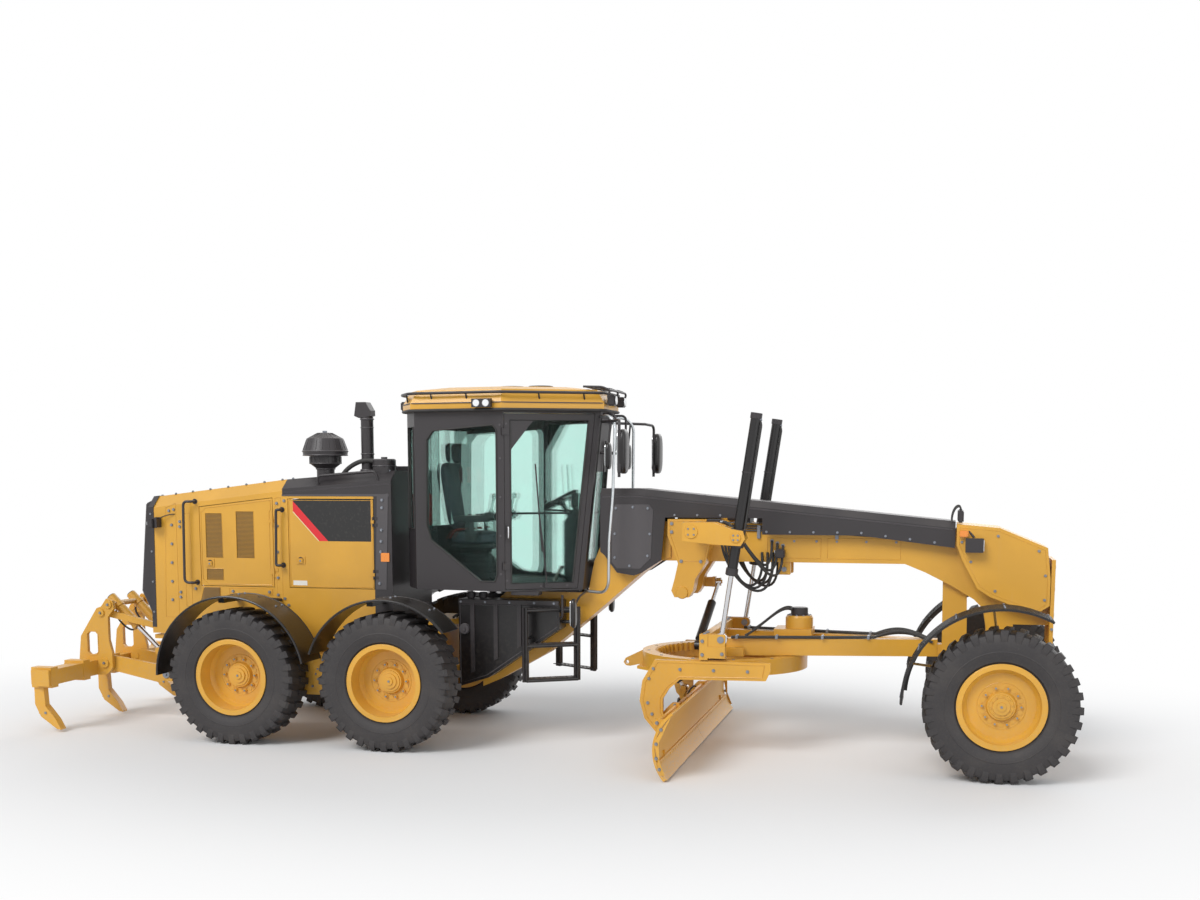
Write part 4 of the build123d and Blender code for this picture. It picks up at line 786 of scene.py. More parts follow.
class GRADER_OT_tyres(bpy.types.Operator):
    """Tyres with moulded sidewalls and traction lugs"""
    bl_idname = "grader.tyres"
    bl_label = "Tyres"

    def execute(self, context):
        settings = context.scene.grader_tread
        for name, station, side in WHEELS:
            middle = at(station, side * WHEEL_Y, TYRE_RADIUS)
            shape = Shape()
            self.carcass(shape.mesh, middle)
            for half in (-1, 1):
                for number in range(settings.lugs):
                    start = 2 * math.pi * (number + (0.5 if half > 0 else 0.0)) / settings.lugs
                    self.lug(shape.mesh, middle, half, start, settings.depth)
            shape.make("tread_" + name, material("rubber"), "wheel_" + name, 28, "tyre_rubber", ("tyre_" + name,))
        return {"FINISHED"}

    def carcass(self, mesh, middle, steps=128):
        profile = [(-y, r) for y, r in TYRE_SECTION] + [(y, r) for y, r in reversed(TYRE_SECTION[:-1])]
        rings = []
        for y, r in profile:
            rings.append([mesh.verts.new(middle + Vector((r * math.cos(a), y, r * math.sin(a))))
                for a in (2 * math.pi * k / steps for k in range(steps))])
        for first, second in zip(rings, rings[1:] + rings[:1]):
            for k in range(steps):
                after = (k + 1) % steps
                mesh.faces.new((first[k], second[k], second[after], first[after]))

    def lug(self, mesh, middle, half, start, depth):
        rows = []
        for foot_y, foot_r, top_y, top_r, width, lean in LUG_PATH:
            top_r = foot_r + (top_r - foot_r) * depth / TREAD_DEPTH
            row = []
            for y, r, share in ((foot_y, foot_r, -1.0), (top_y, top_r, -0.86), (top_y, top_r, 0.86),
                    (foot_y, foot_r, 1.0)):
                angle = start + half * lean + share * width / TYRE_RADIUS
                row.append(mesh.verts.new(middle + Vector((r * math.cos(angle), half * y, r * math.sin(angle)))))
            rows.append(row)
        for first, second in zip(rows, rows[1:]):
            for k in range(3):
                mesh.faces.new((first[k], first[k + 1], second[k + 1], second[k]))
        mesh.faces.new(rows[0])
        mesh.faces.new(list(reversed(rows[-1])))


class GRADER_OT_wheel_trim(bpy.types.Operator):
    """Lock rings, hub caps, nuts and valves on the rims"""
    bl_idname = "grader.wheel_trim"
    bl_label = "Wheel trim"

    def execute(self, context):
        for name, station, side in WHEELS:
            front = name.startswith("front")
            dish = 0.075 if front else -0.03
            middle = at(station, side * WHEEL_Y, TYRE_RADIUS)
            fit = Fittings("wheel_trim_" + name, "wheel_" + name)
            out = Vector((0, side, 0))
            for radius, place, thick in ((0.349, 0.161, 0.005), (0.316, 0.153, 0.005), (0.272, dish + 0.001, 0.004),
                    (0.193, dish + 0.001, 0.003)):
                fit["yellow"].hoop(middle + out * place, out, radius, thick, 72)
            hub = middle + out * (dish + 0.034)
            for radius, high in ((0.1, 0.01), (0.072, 0.022), (0.04, 0.032)):
                fit["yellow"].disc(hub, out, radius, high, 40, radius - 0.004)
            if front:
                fit["yellow"].bolts(hub + out * 0.01, out, 0.086, 10, 0.014)
            for number in range(20):
                angle = math.pi * number / 10
                arm = spoke(angle) * 0.155
                if number % 2:
                    fit["yellow"].disc(middle + out * dish + arm, out, 0.021, 0.004, 16)
                else:
                    fit["zinc"].disc(middle + out * (dish + 0.019) + arm, out, 0.0075, 0.014, 12)
            fit["zinc"].disc(hub + out * 0.032, out, 0.011, 0.006, 6)
            valve = middle + Vector((0.24, 0, 0.19))
            fit["hose"].tube((valve + out * (dish - 0.01), valve + out * (dish + 0.03),
                valve + out * (dish + 0.05) + Vector((0.02, 0, 0.015))), 0.005, 8, 0.01)
            fit.make()
        return {"FINISHED"}


HOOD_BOLTS = (
    # station, height
    (-0.6, 2.23), (-0.6, 2.013), (-0.604, 1.764), (-0.605, 1.514), (-0.609, 1.347), (-0.521, 2.255),
    (-0.539, 1.311), (-0.5, 1.25), (-1.497, 1.391), (-1.762, 2.153), (-1.711, 2.165), (-1.738, 2.013),
    (-1.742, 1.828), (-1.748, 1.643), (-1.752, 1.458), (-1.757, 1.275), (-1.648, 2.047), (-1.65, 1.998),
    (-1.663, 1.353), (-1.665, 1.304),
)
POST_BOLTS = ((0.49, 2.265), (0.488, 2.193), (0.48, 1.984), (0.474, 1.876), (0.468, 1.778), (0.452, 1.478))


class GRADER_OT_hood_trim(bpy.types.Operator):
    """Hand rails, bolts, beads, panels and lamps of the yellow hood"""
    bl_idname = "grader.hood_trim"
    bl_label = "Hood trim"

    def execute(self, context):
        trim = context.scene.grader_trim
        fit = Fittings("hood_trim", "rear")
        for side, out in OUTWARD:
            face = side * HOOD_HALF
            for low, high, near, far in (((-1.575, 1.454), (-1.56, 2.245), -1.475, 0.075),
                    ((-0.588, 1.637), (-0.575, 2.17), -0.545, 0.07)):
                points = (at(near, face, low[1]), at(near + 0.004, face + side * far, low[1]),
                    at(low[0], face + side * far, low[1]), at(high[0], face + side * far, high[1]),
                    at(near + 0.004, face + side * far, high[1]), at(near, face, high[1]))
                fit["black"].tube(points, trim.rail, 12, 0.05)
                for z in (low[1], high[1]):
                    fit["black"].disc(at(near, face, z), out, 0.026, 0.006, 20)
            fit.studs(spots(face, HOOD_BOLTS), out, trim.bolt)
            # raised beads that part the panels
            for corners in (((-1.84, 1.105), (-1.8, 2.18), (-1.69, 2.225), (-1.69, 1.105)),
                    ((-1.605, 1.215), (-1.605, 2.13), (-1.54, 2.13), (-1.54, 1.215)), ((-0.62, 1.3), (-0.62, 2.28),
                    (-0.56, 2.29), (-0.56, 1.3)), ((-1.13, 1.34), (-1.13, 1.405), (-0.665, 1.405), (-0.665, 1.34))):
                fit["yellow"].bead(spots(face, corners))
            fit["yellow"].slab(spots(face, oblong(-1.122, -0.673, 1.348, 1.398)), 0.004, out)
            fit.studs([at(x, face + side * 0.004, 1.373) for x in (-1.09, -0.7)], out, trim.bolt)
            fit["mesh"].slab(spots(face, ((-1.44, 1.273), (-1.405, 1.405), (-1.235, 1.405),
                (-1.235, 1.273))), 0.003, out)
            slats(fit["mesh"], face + side * 0.004, -1.405, -1.24, 1.28, 1.4, 10)
            fit["yellow"].bead(spots(face + side * 0.002, ((-1.445, 1.268), (-1.408, 1.409), (-1.23, 1.409),
                (-1.23, 1.268))))
            # work lamp on its bracket by the rear corner
            fit["black"].slab(spots(face, oblong(-1.88, -1.85, 2.09, 1.99)), 0.09, out)
            fit["black"].pair(side, (-1.945, -1.88), (0.54, 0.635), (1.985, 2.075), 0.008)
            fit["lens"].disc(at(-1.945, face + side * 0.068, 2.03), (-1, 0, 0), 0.036, 0.006, 28)
            fit["hose"].hose(at(-1.88, face + side * 0.05, 2.06), (0.05, 0, 0.03), at(-1.7, face + side * 0.004, 2.12),
                (-0.06, side * 0.02, 0.0), 0.005, 8)
            # black guard round the rear corner, with its bolts
            fit["black"].slab(spots(face, ((-1.99, 1.0), (-1.99, 2.18), (-1.93, 2.19), (-1.945, 1.0))), 0.004, out)
            fit.studs([at(-1.965, face + side * 0.004, z) for z in (1.15, 1.45, 1.75, 2.02, 2.12)], out, 0.018)
            # crest bolts on the hood's upper chamfer
            for x in (-1.748, -1.561, -1.368, -1.174, -0.978, -0.783, -0.59):
                top = 2.285 + (x - HOOD_REAR) * HOOD_SLOPE
                fit.bolt(at(x, side * 0.4, top), (0, side * 0.45, 1), 0.02)
            fit["black"].slab(beside(side, (-1.99, 0.405, 2.289), (-1.99, 0.523, 2.18), (-1.93, 0.523, 2.187),
                (-1.93, 0.405, 2.296)), 0.004, (0, side * 0.68, 0.73))
        fit["black"].slab([at(-1.99, -0.405, 2.286), at(-1.93, -0.405, 2.293), at(-1.93, 0.405, 2.293),
            at(-1.99, 0.405, 2.286)], 0.005, UP)
        fit.studs([at(-1.96, y, 2.295) for y in (-0.3, 0.0, 0.3)], UP, 0.02)
        for x in (-1.5, -1.02):
            fit["yellow"].bead([at(x + a, b, 2.286 + (x + a - HOOD_REAR) * HOOD_SLOPE) for a, b in oblong(0,
                0.4, -0.33, 0.33)])
        # bolts along the deck's edge beside the hood
        for side in SIDES:
            for number in range(12):
                x = -1.88 + number * 0.19
                fit.bolt(at(x, side * 0.49, 0.9), (0, side, 0), 0.018)
        fit.make()
        return {"FINISHED"}


class GRADER_OT_service_doors(bpy.types.Operator):
    """Grilles, latches, beads and labels on the four service doors"""
    bl_idname = "grader.service_doors"
    bl_label = "Service doors"

    def execute(self, context):
        for word, side in NAMED_SIDES:
            face = side * HOOD_HALF
            out = Vector((0, side, 0))
            rear = Fittings("rear_door_trim_" + word, "service_door_rear_" + word)
            for x_low, x_high, z_low, z_high, count in ((-1.37, -1.19, 1.7, 2.13, 34), (-1.04, -0.85, 1.7, 2.15, 36),
                    (-1.37, -1.19, 1.48, 1.59, 9)):
                slats(rear["mesh"], face - side * 0.005, x_low, x_high, z_low, z_high, count)
                rear["yellow"].bead(spots(face, oblong(x_low, x_high, z_low, z_high)))
            rear["yellow"].bead(spots(face, ((-1.415, 1.49), (-1.36, 1.44), (-0.668, 1.44), (-0.668, 1.56),
                (-0.685, 1.58), (-0.685, 2.15), (-0.668, 2.17), (-0.668, 2.262), (-1.36, 2.182),
                (-1.415, 2.14))), 0.004)
            self.latch(rear, -1.33, 1.645, face, side)
            rear.make()
            front = Fittings("front_door_trim_" + word, "service_door_front_" + word)
            self.latch(front, -0.36, 1.685, face, side)
            front["label"].slab(spots(face, oblong(-0.446, -0.3, 1.445, 1.49)), 0.0012, out)
            front["artwork_edge"].bead(spots(face, oblong(-0.47, 0.384, 1.435, 2.26)), 0.0035)
            front.make()
        return {"FINISHED"}

    def latch(self, fit, x, z, face, side):
        """A paddle latch in its cup."""
        out = Vector((0, side, 0))
        fit["yellow"].box(at(x - 0.05, face - 0.006, z - 0.042), at(x + 0.05, face + 0.006, z + 0.042), 0.005)
        fit["black"].disc(at(x, face + side * 0.006, z + 0.006), out, 0.027, 0.003)
        fit["yellow"].box(at(x - 0.026, face + side * 0.012 - 0.006, z - 0.026),
            at(x + 0.026, face + side * 0.012 + 0.006, z + 0.02), 0.004)
        fit["zinc"].disc(at(x, face + side * 0.018, z - 0.004), out, 0.009, 0.003, 16)


class GRADER_OT_cowl_trim(bpy.types.Operator):
    """Rails, posts, reflectors, exhaust and air-cleaner details on the black cowl"""
    bl_idname = "grader.cowl_trim"
    bl_label = "Cowl trim"

    def execute(self, context):
        trim = context.scene.grader_trim
        fit = Fittings("cowl_trim", "rear")
        for side, out in OUTWARD:
            face = side * HOOD_HALF
            fit["black"].tube(beside(side, (-0.175, 0.5, 2.41), (-0.17, 0.512, 2.492), (0.425, 0.512, 2.535),
                (0.44, 0.5, 2.45)), trim.rail, 12, 0.06)
            fit["post"].slab(spots(face, ((0.41, 1.42), (0.52, 1.42), (0.552, 2.33), (0.438, 2.3))), 0.005, out)
            fit.studs(spots(face + side * 0.005, POST_BOLTS), out, trim.bolt)
            fit["amber"].box(at(0.47, face + side * 0.008 - 0.004, 1.685),
                at(0.556, face + side * 0.008 + 0.004, 1.768), 0.002)
            # drip edge under the cowl and the bead on its chamfer
            fit["post"].slab(spots(face, ((-0.542, 2.3), (0.56, 2.3), (0.56, 2.322), (-0.542, 2.316))), 0.004, out)
            fit["post"].bead(spots(side * 0.5205, ((-0.53, 2.33), (0.56, 2.412), (0.56, 2.42), (-0.53, 2.338))), 0.002)
            for x in (-0.48, -0.1, 0.25, 0.52):
                top = 2.459 + 0.075 * (x + 0.54)
                fit.bolt(at(x, side * 0.395, top), (0, side * 0.3, 1), 0.02)
        # pre-cleaner: bands, clamp and ribs
        centre = at(-0.205, -0.25, 0)
        for z, radius, thick in ((2.69, 0.212, 0.006), (2.728, 0.218, 0.006), (2.612, 0.151, 0.006),
                (2.56, 0.088, 0.008), (2.47, 0.088, 0.01)):
            fit["post"].hoop(centre + rise(z), UP, radius, thick)
        for number in range(20):
            angle = 2 * math.pi * number / 20
            arm = Vector((math.cos(angle), math.sin(angle), 0))
            fit["black"].tube((centre + arm * 0.214 + rise(2.742), centre + arm * 0.176 + rise(2.846),
                centre + arm * 0.07 + rise(2.902)), 0.0035, 6, 0.02)
            fit["black"].tube((centre + arm * 0.152 + rise(2.615), centre + arm * 0.152 + rise(2.675)), 0.004, 6)
        fit["zinc"].disc(centre + rise(2.908), UP, 0.022, 0.016, 6)
        # exhaust: flange, clamp and heat shield bands
        pipe = at(0.237, -0.25, 0)
        for z, radius, thick in ((2.545, 0.063, 0.012), (2.7, 0.061, 0.006), (3.03, 0.061, 0.008),
                (2.95, 0.061, 0.005)):
            fit["post"].hoop(pipe + rise(z), UP, radius, thick)
        # dark disc in the exhaust's mouth: soot, and painted shade standing in for the pipe's hollow inside
        fit["soot"].disc(at(0.142, -0.25, 3.125), (-1, 0, 0.1), 0.05, 0.004, 28)
        fit["zinc"].bolts(pipe + rise(2.52), UP, 0.095, 6, 0.018)
        fit["black"].disc(pipe + rise(2.5), UP, 0.115, 0.02, 36)
        # cap of the canister, a breather hose between it and the exhaust
        can = at(0.44, -0.33, 0)
        fit["post"].disc(can + rise(2.64), UP, 0.112, 0.012, 36, 0.1)
        fit["post"].disc(can + rise(2.652), UP, 0.03, 0.018, 20)
        fit["post"].hoop(can + rise(2.585), UP, 0.111, 0.006)
        fit["hose"].hose(at(0.36, -0.34, 2.62), (-0.12, 0.03, 0.06), at(-0.02, -0.3, 2.47), (0.05, 0, 0.12), 0.022, 14)
        fit["black"].box(at(0.33, 0.06, 2.5), at(0.54, 0.33, 2.585), 0.015)
        fit["post"].disc(at(0.1, 0.26, 2.49), UP, 0.045, 0.04, 28, 0.04)
        fit.make()
        return {"FINISHED"}


class GRADER_OT_rear_end(bpy.types.Operator):
    """Rear grille mesh, lamps, blank plate, ripper pins, tips and hoses"""
    bl_idname = "grader.rear_end"
    bl_label = "Rear end"

    def execute(self, context):
        fit = Fittings("rear_end", "rear")

        def back(height):
            """Station of the grille's sloping rear face."""
            if height > 1.354:
                return -2.128 + (height - 1.354) * (0.083 / 0.871)
            return -2.128 + (1.354 - height) * (0.118 / 0.249)
        for y in (-0.445, -0.025, 0.025, 0.445):
            fit["post"].tube([at(back(z) - 0.004, y, z) for z in (1.13, 1.354, 1.8, 2.215)], 0.007, 8)
        for row in range(12):
            z = 1.384 + row * 0.072
            for low, high in ((-0.41, -0.03), (0.03, 0.41)):
                fit["post"].tube((at(back(z) - 0.003, low, z), at(back(z) - 0.003, high, z)), 0.006, 8)
        for column in range(9):
            for start in (-0.385, 0.055):
                y = start + column * 0.041
                fit["black"].tube((at(-2.062, y, 1.395), at(-2.062 + 0.02, y, 2.2)), 0.003, 6)
        for side in SIDES:
            for z, lens in ((1.29, "red_lens"), (1.22, "amber")):
                place = at(back(z) - 0.004, side * 0.34, z)
                fit["black"].disc(place, (-1, 0, -0.3), 0.046, 0.014, 28)
                fit[lens].disc(place + Vector((-0.013, 0, -0.004)), (-1, 0, -0.3), 0.038, 0.01, 28, 0.033)
            fit.studs([at(back(z) - 0.002, side * 0.428, z) for z in (1.45, 1.75, 2.05)], (-1, 0, 0.09), 0.018)
        fit["label"].slab([at(back(z) - 0.003, y, z) for y, z in oblong(-0.12, 0.12, 1.19, 1.25)],
            0.002, (-1, 0, -0.4))
        # pin heads and bolts of the ripper's brackets
        for side in SIDES:
            for x, z, radius in ((-1.98, 0.492, 0.042), (-2.0, 1.009, 0.036)):
                fit["zinc"].disc(at(x, side * 0.325, z), (0, side, 0), radius, 0.012, 28, radius - 0.004)
                fit.bolt(at(x, side * 0.337, z), (0, side, 0), 0.022)
            fit.studs(spots(side * 0.3, ((-1.9, 0.46), (-1.9, 0.72), (-1.9, 0.98))), (0, side, 0), 0.024)
        fit.make()
        lower = Fittings("ripper_trim", "ripper_beam")
        for side, out in OUTWARD:
            for x, z, radius in ((-2.675, 0.588, 0.052), (-2.695, 1.105, 0.044), (-2.605, 1.19, 0.044)):
                lower["yellow_low"].disc(at(x, side * 0.34, z), out, radius, 0.016, 32, radius - 0.005)
                lower.bolt(at(x, side * 0.356, z), out, 0.024)
            lower["yellow_low"].bead(spots(side * 0.34, ((-2.869, 0.7), (-2.869, 0.882), (-2.842, 0.912),
                (-2.768, 0.912), (-2.741, 0.882), (-2.741, 0.7), (-2.768, 0.67), (-2.842, 0.67))), 0.006)
            lower["yellow_low"].slab(spots(side * 1.15, oblong(-2.915, -2.755, 0.46, 0.62)), 0.01, out)
        for place in range(-2, 3):
            y = place * 0.533
            lower["edge"].disc(at(-2.865, y - 0.072, 0.575), ACROSS, 0.019, 0.144, 20)
            lower["zinc"].disc(at(-2.865, y - 0.064, 0.575), ACROSS, 0.027, 0.006, 20)
            lower["yellow_low"].slab(spots(y - 0.055, oblong(-2.98, -2.975, 0.47, 0.61)), 0.11, ACROSS)
            if place % 2 == 0:
                tip = [(-2.925, 0.185), (-2.77, 0.062), (-2.688, 0.026), (-2.684, 0.036), (-2.735, 0.128),
                    (-2.8, 0.205), (-2.85, 0.262)]
                lower["yellow_low"].slab(spots(y - 0.042, tip), 0.084, ACROSS)
                lower["zinc"].disc(at(-2.845, y - 0.048, 0.19), ACROSS, 0.013, 0.096, 16)
        lower.make()
        for side in SIDES:
            hoses = Fittings("ripper_cylinder_trim_%d" % side, "ripper_barrels")
            top, foot = at(-2.605, 0.18 * side, 1.19), at(-2.115, 0.18 * side, 0.71)
            along = (foot - top).normalized()
            hoses["black"].disc(top - along * 0.095, -along, 0.046, 0.01, 32, 0.04)
            for place in (0.02, 0.3):
                hoses["yellow_low"].disc(top + along * place, along, 0.057, 0.03, 32)
            hoses["hose"].hose(top + along * 0.3 + Vector((-0.03, 0, -0.05)), (-0.04, 0, -0.05),
                top + along * 0.02 + Vector((-0.03, 0, -0.06)), (-0.03, 0, -0.08), 0.01, 10)
            hoses.make()
        return {"FINISHED"}


CAB_WALLS = {
    # name: start and end of the right-hand wall, each station and side distance
    "quarter": ((0.68, -0.33), (0.86, -0.61)),
    "side": ((0.86, -0.61), (1.745, -0.7)),
    "door": ((1.745, -0.7), (2.54, -0.23)),
}
# stand-off from the pane and thickness of the two window seals
SEALS = ((0.002, 0.008), (-0.014, 0.007))
CAB_WINDOWS = (
    # wall, outline as (run along the wall, height)
    ("side", ((0.11, 2.04), (0.155, 1.9), (0.655, 1.53), (0.8, 1.53), (0.825, 1.6), (0.825, 2.9),
              (0.79, 2.95), (0.19, 2.905), (0.12, 2.82))),
    ("quarter", oblong(0.05, 0.283, 2.0, 2.94)),
)
DOOR_WINDOW = ((0.07, 1.515), (0.652, 1.515), (0.809, 2.992), (0.07, 2.992))
ROOF_EDGE = ((0.64, 0.36), (0.832, 0.66), (1.745, 0.757), (2.597, 0.298))


def on_wall(name, side, run, z, out=0.0):
    """A point on a cab wall: run from its rear end, at a height, and out from its face."""
    start, end = CAB_WALLS[name]
    along = Vector((end[0] - start[0], end[1] - start[1], 0)).normalized()
    place = at(start[0], start[1], z) + along * run + Vector((along.y, -along.x, 0)) * out
    return Vector((place.x, -side * place.y, place.z))


def on_screen(y, run, out=0.0):
    """A point on the leaning windscreen face, run up it from its foot."""
    lean = Vector((0.15, 0, 1.642)).normalized()
    return at(2.39, y, 1.44) + lean * run + Vector((lean.z, 0, -lean.x)) * out


def wall_path(name, side, points):
    """Points on a cab wall, each as its run, its height and, at need, how far out it is."""
    return [on_wall(name, side, *point) for point in points]


def roof_loop(z, grow=0.0):
    """Points round the roof's edge at a height."""
    half = [(x + grow * (1 if x > 1.5 else -1), y + grow) for x, y in ROOF_EDGE]
    return [at(x, -y, z) for x, y in half] + [at(x, y, z) for x, y in reversed(half)]


def rounded_loop(points, bend):
    """A closed path with its corners rounded."""
    path = []
    count = len(points)
    for index in range(count):
        trio = (points[index - 1], points[index], points[(index + 1) % count])
        middle_in, middle_out = (trio[0] + trio[1]) / 2, (trio[1] + trio[2]) / 2
        path.extend(rounded((middle_in, trio[1], middle_out), bend, 4)[1:-1])
    return path


class GRADER_OT_cab_trim(bpy.types.Operator):
    """Window seals, wipers, handles, roof rails, lamps and mirrors of the cab"""
    bl_idname = "grader.cab_trim"
    bl_label = "Cab trim"

    def execute(self, context):
        fit = Fittings("cab_trim", "front")
        for side in SIDES:
            for wall, outline in CAB_WINDOWS:
                for place, thick in SEALS:
                    fit["hose"].tube([on_wall(wall, side, run, z, place) for run, z in outline], thick, 8, closed=True)
            for z in (1.6, 1.95, 2.3, 2.65, 2.95):
                fit["post"].disc(on_wall("side", side, 0.862, z), (-0.1, side, 0), 0.01, 0.005, 16)
            # mirror: rounded back and glass
            fit["gloss_black"].pod(side, (2.838, 2.915), (0.645, 0.855), (2.51, 2.9))
            fit["mirror"].pod(side, (2.829, 2.842), (0.663, 0.837), (2.53, 2.88), 5)
            fit["black"].tube(spots(side * 0.745, ((2.835, 2.56), (2.835, 2.85))), 0.02)
            # small mirror on the arm by the windscreen post
            fit["gloss_black"].pod(side, (2.636, 2.68), (0.345, 0.475), (2.55, 2.79))
            fit["black"].tube(beside(side, (2.655, 0.41, 2.77), (2.68, 0.39, 2.985)), 0.009, 10)
            fit["mirror"].pod(side, (2.63, 2.641), (0.358, 0.462), (2.565, 2.775), 5)
            # low mirror by the cab's foot, under the door's swing
            fit["gloss_black"].pod(side, (2.395, 2.44), (0.69, 0.8), (1.13, 1.395))
            fit["mirror"].pod(side, (2.389, 2.4), (0.702, 0.788), (1.145, 1.38), 5)
            fit["black"].tube(beside(side, (2.42, 0.3, 1.425), (2.43, 0.6, 1.4), (2.425, 0.745, 1.33)), 0.01, 10, 0.05)
            # lamps on the roof's side
            for x in (1.525, 1.615):
                fit["lens"].disc(at(x, side * 0.792, 3.142), (0, side, 0), 0.033, 0.006, 28, 0.029)
                fit["post"].hoop(at(x, side * 0.793, 3.142), ACROSS, 0.035, 0.004, 28, 6)
            fit["black"].pair(side, (2.6, 2.675), (0.125, 0.235), (3.13, 3.225), 0.01)
            fit["lens"].disc(at(2.675, side * 0.18, 3.178), (1, 0, 0), 0.038, 0.005, 28, 0.034)
            fit["black"].pair(side, (0.575, 0.65), (0.125, 0.235), (3.105, 3.19), 0.01)
            fit["lens"].disc(at(0.575, side * 0.18, 3.148), (-1, 0, 0), 0.036, 0.005, 28, 0.032)
            # pale grab rail from the post's head down past the door's swing to the cab's foot
            fit["rail"].tube([at(x, side * y, z) for x, y, z in ((2.545, 0.245, 3.03), (2.64, 0.34, 3.04),
                (2.712, 0.39, 2.96), (2.7, 0.42, 2.3), (2.676, 0.462, 1.9), (2.672, 0.462, 1.5), (2.61, 0.395, 1.424),
                (2.45, 0.3, 1.424))], 0.0135, 12, 0.08)
            # rail posts
            for x, y in ((0.76, 0.55), (1.05, 0.682), (1.4, 0.719), (2.05, 0.592), (2.42, 0.393)):
                fit["black"].tube(beside(side, (x, y - 0.045, 3.165), (x, y - 0.005, 3.235)), 0.008, 8)
            # step board under the door
            fit["black"].pair(side, (1.79, 2.06), (0.52, 0.64), (1.405, 1.438), 0.006)
        fit["black"].tube(rounded_loop(roof_loop(3.24, 0.004), 0.09), 0.013, 10, closed=True)
        fit["hose"].tube(rounded_loop(roof_loop(3.086, -0.004), 0.05), 0.013, 8, closed=True)
        fit["post"].tube(rounded_loop(roof_loop(3.15, -0.006), 0.05), 0.005, 6, closed=True)
        # rack over the windscreen
        for x, z in ((2.42, 3.3), (2.56, 3.292), (2.64, 3.268)):
            fit["black"].tube((at(x, -0.33, z), at(x, 0.33, z)), 0.01, 10)
        for y in (-0.33, 0.0, 0.33):
            fit["black"].tube(spots(y, ((2.4, 3.3), (2.575, 3.295), (2.655, 3.262), (2.63, 3.2))), 0.01, 10, 0.03)
        for x, y in ((1.9, 0.0), (1.62, 0.0)):
            for radius, low, high in ((0.15, 3.306, 3.318), (0.12, 3.318, 3.33)):
                fit["black"].disc(at(x, y, low), UP, radius, high - low, 36, radius - 0.008)
        for place, thick in SEALS:
            fit["hose"].tube([on_screen(y, run, place) for y, run in ((-0.2507, 0.26), (0.2507, 0.26), (0.18, 1.589),
                (-0.18, 1.589))], thick, 8, closed=True)
            fit["hose"].tube([at(0.68 - place, y, z) for y, z in oblong(-0.25, 0.25, 1.95, 2.992)],
                thick, 8, closed=True)
        # wipers of the windscreen and the rear window
        fit["black"].disc(on_screen(0.08, 0.205), (1, 0, -0.1), 0.026, 0.03)
        fit["black"].tube((on_screen(0.08, 0.205, 0.026), on_screen(0.07, 0.6, 0.03), on_screen(0.04, 0.98, 0.02)),
            0.007, 10, 0.05)
        fit["hose"].tube((on_screen(0.06, 0.6, 0.012), on_screen(0.02, 1.38, 0.012)), 0.007, 8)
        fit["black"].disc(at(0.676, 0.06, 1.9), (-1, 0, 0), 0.026, 0.024)
        fit["black"].tube((at(0.65, 0.06, 1.9), at(0.65, 0.04, 2.3), at(0.662, 0.02, 2.55)), 0.007, 10, 0.05)
        fit["hose"].tube((at(0.668, 0.04, 2.2), at(0.668, -0.02, 2.8)), 0.007, 8)
        fit.make()
        for word, side in NAMED_SIDES:
            door = Fittings("cab_door_trim_" + word, "cab_door_" + word)
            for place, thick in SEALS:
                door["hose"].tube([on_wall("door", side, run, z, place) for run, z in DOOR_WINDOW],
                    thick, 8, closed=True)
            gusset = [on_wall("door", side, run, z, -0.005) for run, z in ((0.066, 2.996), (0.3, 2.996), (0.26, 2.96),
                (0.085, 2.74), (0.066, 2.7))]
            normal = on_wall("door", side, 0, 2, 1.0) - on_wall("door", side, 0, 2, 0.0)
            door["black"].slab(gusset, 0.007, normal)
            door["black"].slab(wall_path("door", side, oblong(0.022, 0.052, 1.9, 2.06)), 0.01, normal)
            door["chrome"].tube(wall_path("door", side, ((0.036, 1.92, 0.008), (0.036, 1.93, 0.045),
                (0.036, 2.03, 0.045), (0.036, 2.04, 0.008))), 0.007, 10, 0.02)
            # wiper, its pivot at the glass's foot
            door["black"].disc(on_wall("door", side, 0.4, 1.492), normal, 0.024, 0.028)
            door["black"].tube(wall_path("door", side, ((0.4, 1.492, 0.026), (0.37, 1.8, 0.03), (0.33, 2.15, 0.018))),
                0.007, 10, 0.05)
            door["hose"].tube([on_wall("door", side, run, z, 0.006) for run, z in ((0.36, 1.8), (0.3, 2.6))], 0.007, 8)
            for run, z in ((0.03, 1.54), (0.03, 2.96), (0.35, 1.484), (0.6, 1.484)):
                door["post"].disc(on_wall("door", side, run, z), normal, 0.009, 0.004, 16)
            # inner pull bar
            door["black"].tube(wall_path("door", side, ((0.05, 2.15, -0.035), (0.06, 2.15, -0.075),
                (0.64, 2.15, -0.075), (0.65, 2.15, -0.03))), 0.01, 10, 0.03)
            door.make()
        return {"FINISHED"}


def cushion(name, low, high, lean, finish, puff=5.0, grooves=0):
    """A padded block with soft edges and stitched grooves, leaning back about its lower rear edge."""
    low, high = Vector(low), Vector(high)
    shape = Shape()
    bmesh.ops.create_cube(shape.mesh, size=2.0)
    bmesh.ops.subdivide_edges(shape.mesh, edges=shape.mesh.edges, cuts=11, use_grid_fill=True)
    half = (high - low) / 2
    turn = Matrix.Rotation(math.radians(lean), 4, "Y")
    pivot = Vector((low.x, 0, low.z))
    for vertex in shape.mesh.verts:
        u = vertex.co.copy()
        size = (abs(u.x) ** puff + abs(u.y) ** puff + abs(u.z) ** puff) ** (-1 / puff)
        u *= size
        if grooves:
            dent = abs(math.sin(math.pi * (u.y * 0.5 + 0.5) * grooves)) ** 0.5
            u.x *= 0.955 + 0.045 * dent
            u.z *= 0.955 + 0.045 * dent
        point = low + half + Vector((u.x * half.x, u.y * half.y, u.z * half.z))
        vertex.co = pivot + turn @ (point - pivot)
    piece = shape.make(name, material(finish), "front", 180)
    soft = piece.modifiers.new("soft", "SUBSURF")
    soft.levels = soft.render_levels = 1


